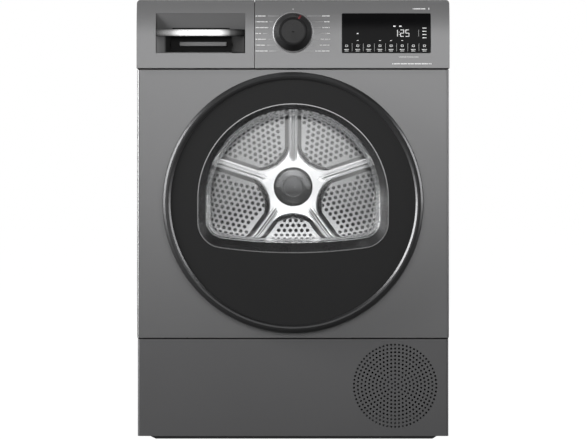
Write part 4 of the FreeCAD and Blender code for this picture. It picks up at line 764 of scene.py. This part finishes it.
def ramp_along(nodes, links, axis, start, end):
    """Value that goes from 0 at start to 1 at end along an axis of the machine."""
    where = nodes.new("ShaderNodeTexCoord")
    parts = nodes.new("ShaderNodeSeparateXYZ")
    links.new(where.outputs["Object"], parts.inputs["Vector"])
    span = nodes.new("ShaderNodeMapRange")
    span.inputs["From Min"].default_value = start
    span.inputs["From Max"].default_value = end
    links.new(parts.outputs[axis], span.inputs["Value"])
    return span.outputs["Result"]


def joined_values(nodes, links, operation, first, second):
    """Two values put together by one operation."""
    step = nodes.new("ShaderNodeMath")
    step.operation = operation
    links.new(first, step.inputs[0])
    links.new(second, step.inputs[1])
    return step.outputs[0]


# The deep part of the pocket and its right cheek are painted black: painted shadow, a stand-in for the shade
# there.
shadow_nodes, shadow_links = cup_paint.node_tree.nodes, cup_paint.node_tree.links
deep = ramp_along(shadow_nodes, shadow_links, "Y", POCKET_START, POCKET_START + 0.004)
cheek = ramp_along(shadow_nodes, shadow_links, "X", RIGHT_WALL, RIGHT_WALL + 0.001)
below = ramp_along(shadow_nodes, shadow_links, "Z", BROW_EDGE, BROW_EDGE - 0.001)
black = joined_values(shadow_nodes, shadow_links, "MAXIMUM", deep, joined_values(shadow_nodes, shadow_links, "MULTIPLY", cheek, below))
tone = shadow_nodes.new("ShaderNodeMix")
tone.data_type = "RGBA"
tone.inputs["B"].default_value = (0.004, 0.004, 0.004, 1)
cup_shader = shadow_nodes["Principled BSDF"]
shadow_links.new(cup_shader.inputs["Base Color"].links[0].from_socket, tone.inputs["A"])
shadow_links.new(black, tone.inputs["Factor"])
shadow_links.new(tone.outputs["Result"], cup_shader.inputs["Base Color"])
cup_shader.inputs["Specular IOR Level"].default_value = 0.2

strip_low, strip_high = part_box("handle_strip")
STRIP_T = 0.0030
STRIP_H = 0.0130


def rounded_bar(low, high, edge):
    """Bar with softened edges between two corners."""
    mesh = bmesh.new()
    bmesh.ops.create_cube(mesh, size=1.0)
    size, middle = high - low, (low + high) / 2
    bmesh.ops.scale(mesh, vec=size, verts=mesh.verts)
    bmesh.ops.translate(mesh, vec=middle, verts=mesh.verts)
    bmesh.ops.bevel(mesh, geom=mesh.edges, offset=edge, segments=4, profile=0.5, affect="EDGES")
    return mesh


strip_top = strip_high.z
strip_mesh = rounded_bar(Vector((strip_low.x, strip_low.y, strip_top - STRIP_H)),
                         Vector((strip_high.x, strip_low.y + STRIP_T, strip_top)), 0.0006)
# The plating's tone runs from dark ends to a bright middle, a stand-in for the room it mirrors.
strip_chrome = coating("strip_chrome", (0.9, 0.9, 0.9), 0.28, metal=1.0, patch=30, tint=0.02, grain=1500,
                       lift=0.006, rough_swing=0.02)
plating, wires = strip_chrome.node_tree.nodes, strip_chrome.node_tree.links
along = ramp_along(plating, wires, "X", strip_low.x, strip_high.x)
tones = plating.new("ShaderNodeValToRGB")
tones.color_ramp.elements[0].position = 0.0
tones.color_ramp.elements[0].color = (0.10, 0.10, 0.10, 1)
tones.color_ramp.elements[1].position = 1.0
tones.color_ramp.elements[1].color = (0.004, 0.004, 0.004, 1)
for place, shade in ((0.16, 0.30), (0.27, 0.85), (0.70, 0.85), (0.78, 0.36), (0.84, 0.07), (0.92, 0.02)):
    tones.color_ramp.elements.new(place).color = (shade, shade, shade, 1)
wires.new(along, tones.inputs["Fac"])
wires.new(tones.outputs["Color"], plating["Principled BSDF"].inputs["Base Color"])
smooth_piece("grip_strip", strip_mesh, strip_chrome, "drawer", "chrome_trim", "handle_strip")
BAR_LEFT, BAR_RIGHT = 0.0444, 0.0365
BAR_LOW, BAR_HIGH = 0.0160, 0.0237
bar_back = strip_high.y - 0.0002
bar_mesh = rounded_bar(Vector((cup_low.x + BAR_LEFT, bar_back - 0.0055, cup_low.z + BAR_LOW)),
                       Vector((cup_high.x - BAR_RIGHT, bar_back, cup_low.z + BAR_HIGH)), 0.0008)
bar_grey = coating("bar_grey", (0.32, 0.32, 0.322), 0.45, patch=40, tint=0.04, grain=2000, lift=0.04)
smooth_piece("finger_bar", bar_mesh, bar_grey, "drawer", "chrome_trim")
tank_plastic = coating("tank_polyethylene", (0.66, 0.67, 0.68), 0.45, patch=12, tint=0.04, grain=900,
                       lift=0.1)
dress(tank_plastic, "condensate_tank")


# ---------------------------------------------------------------- worktop
# Laminated particle board in a moulded frame, screwed to the sides from below at the rear.
# The laminate is a fine matt grey with a faint pearl.
laminate = coating("worktop_laminate", (0.24, 0.24, 0.245), 0.55, coat=0.1, coat_rough=0.4, patch=25,
                   tint=0.08, grain=1400, lift=0.12)
dress(laminate, "worktop_board")
edging = coating("worktop_edging", (0.2, 0.2, 0.205), 0.45, patch=10, tint=0.05, grain=1600, lift=0.1)
dress(edging, "worktop_frame")
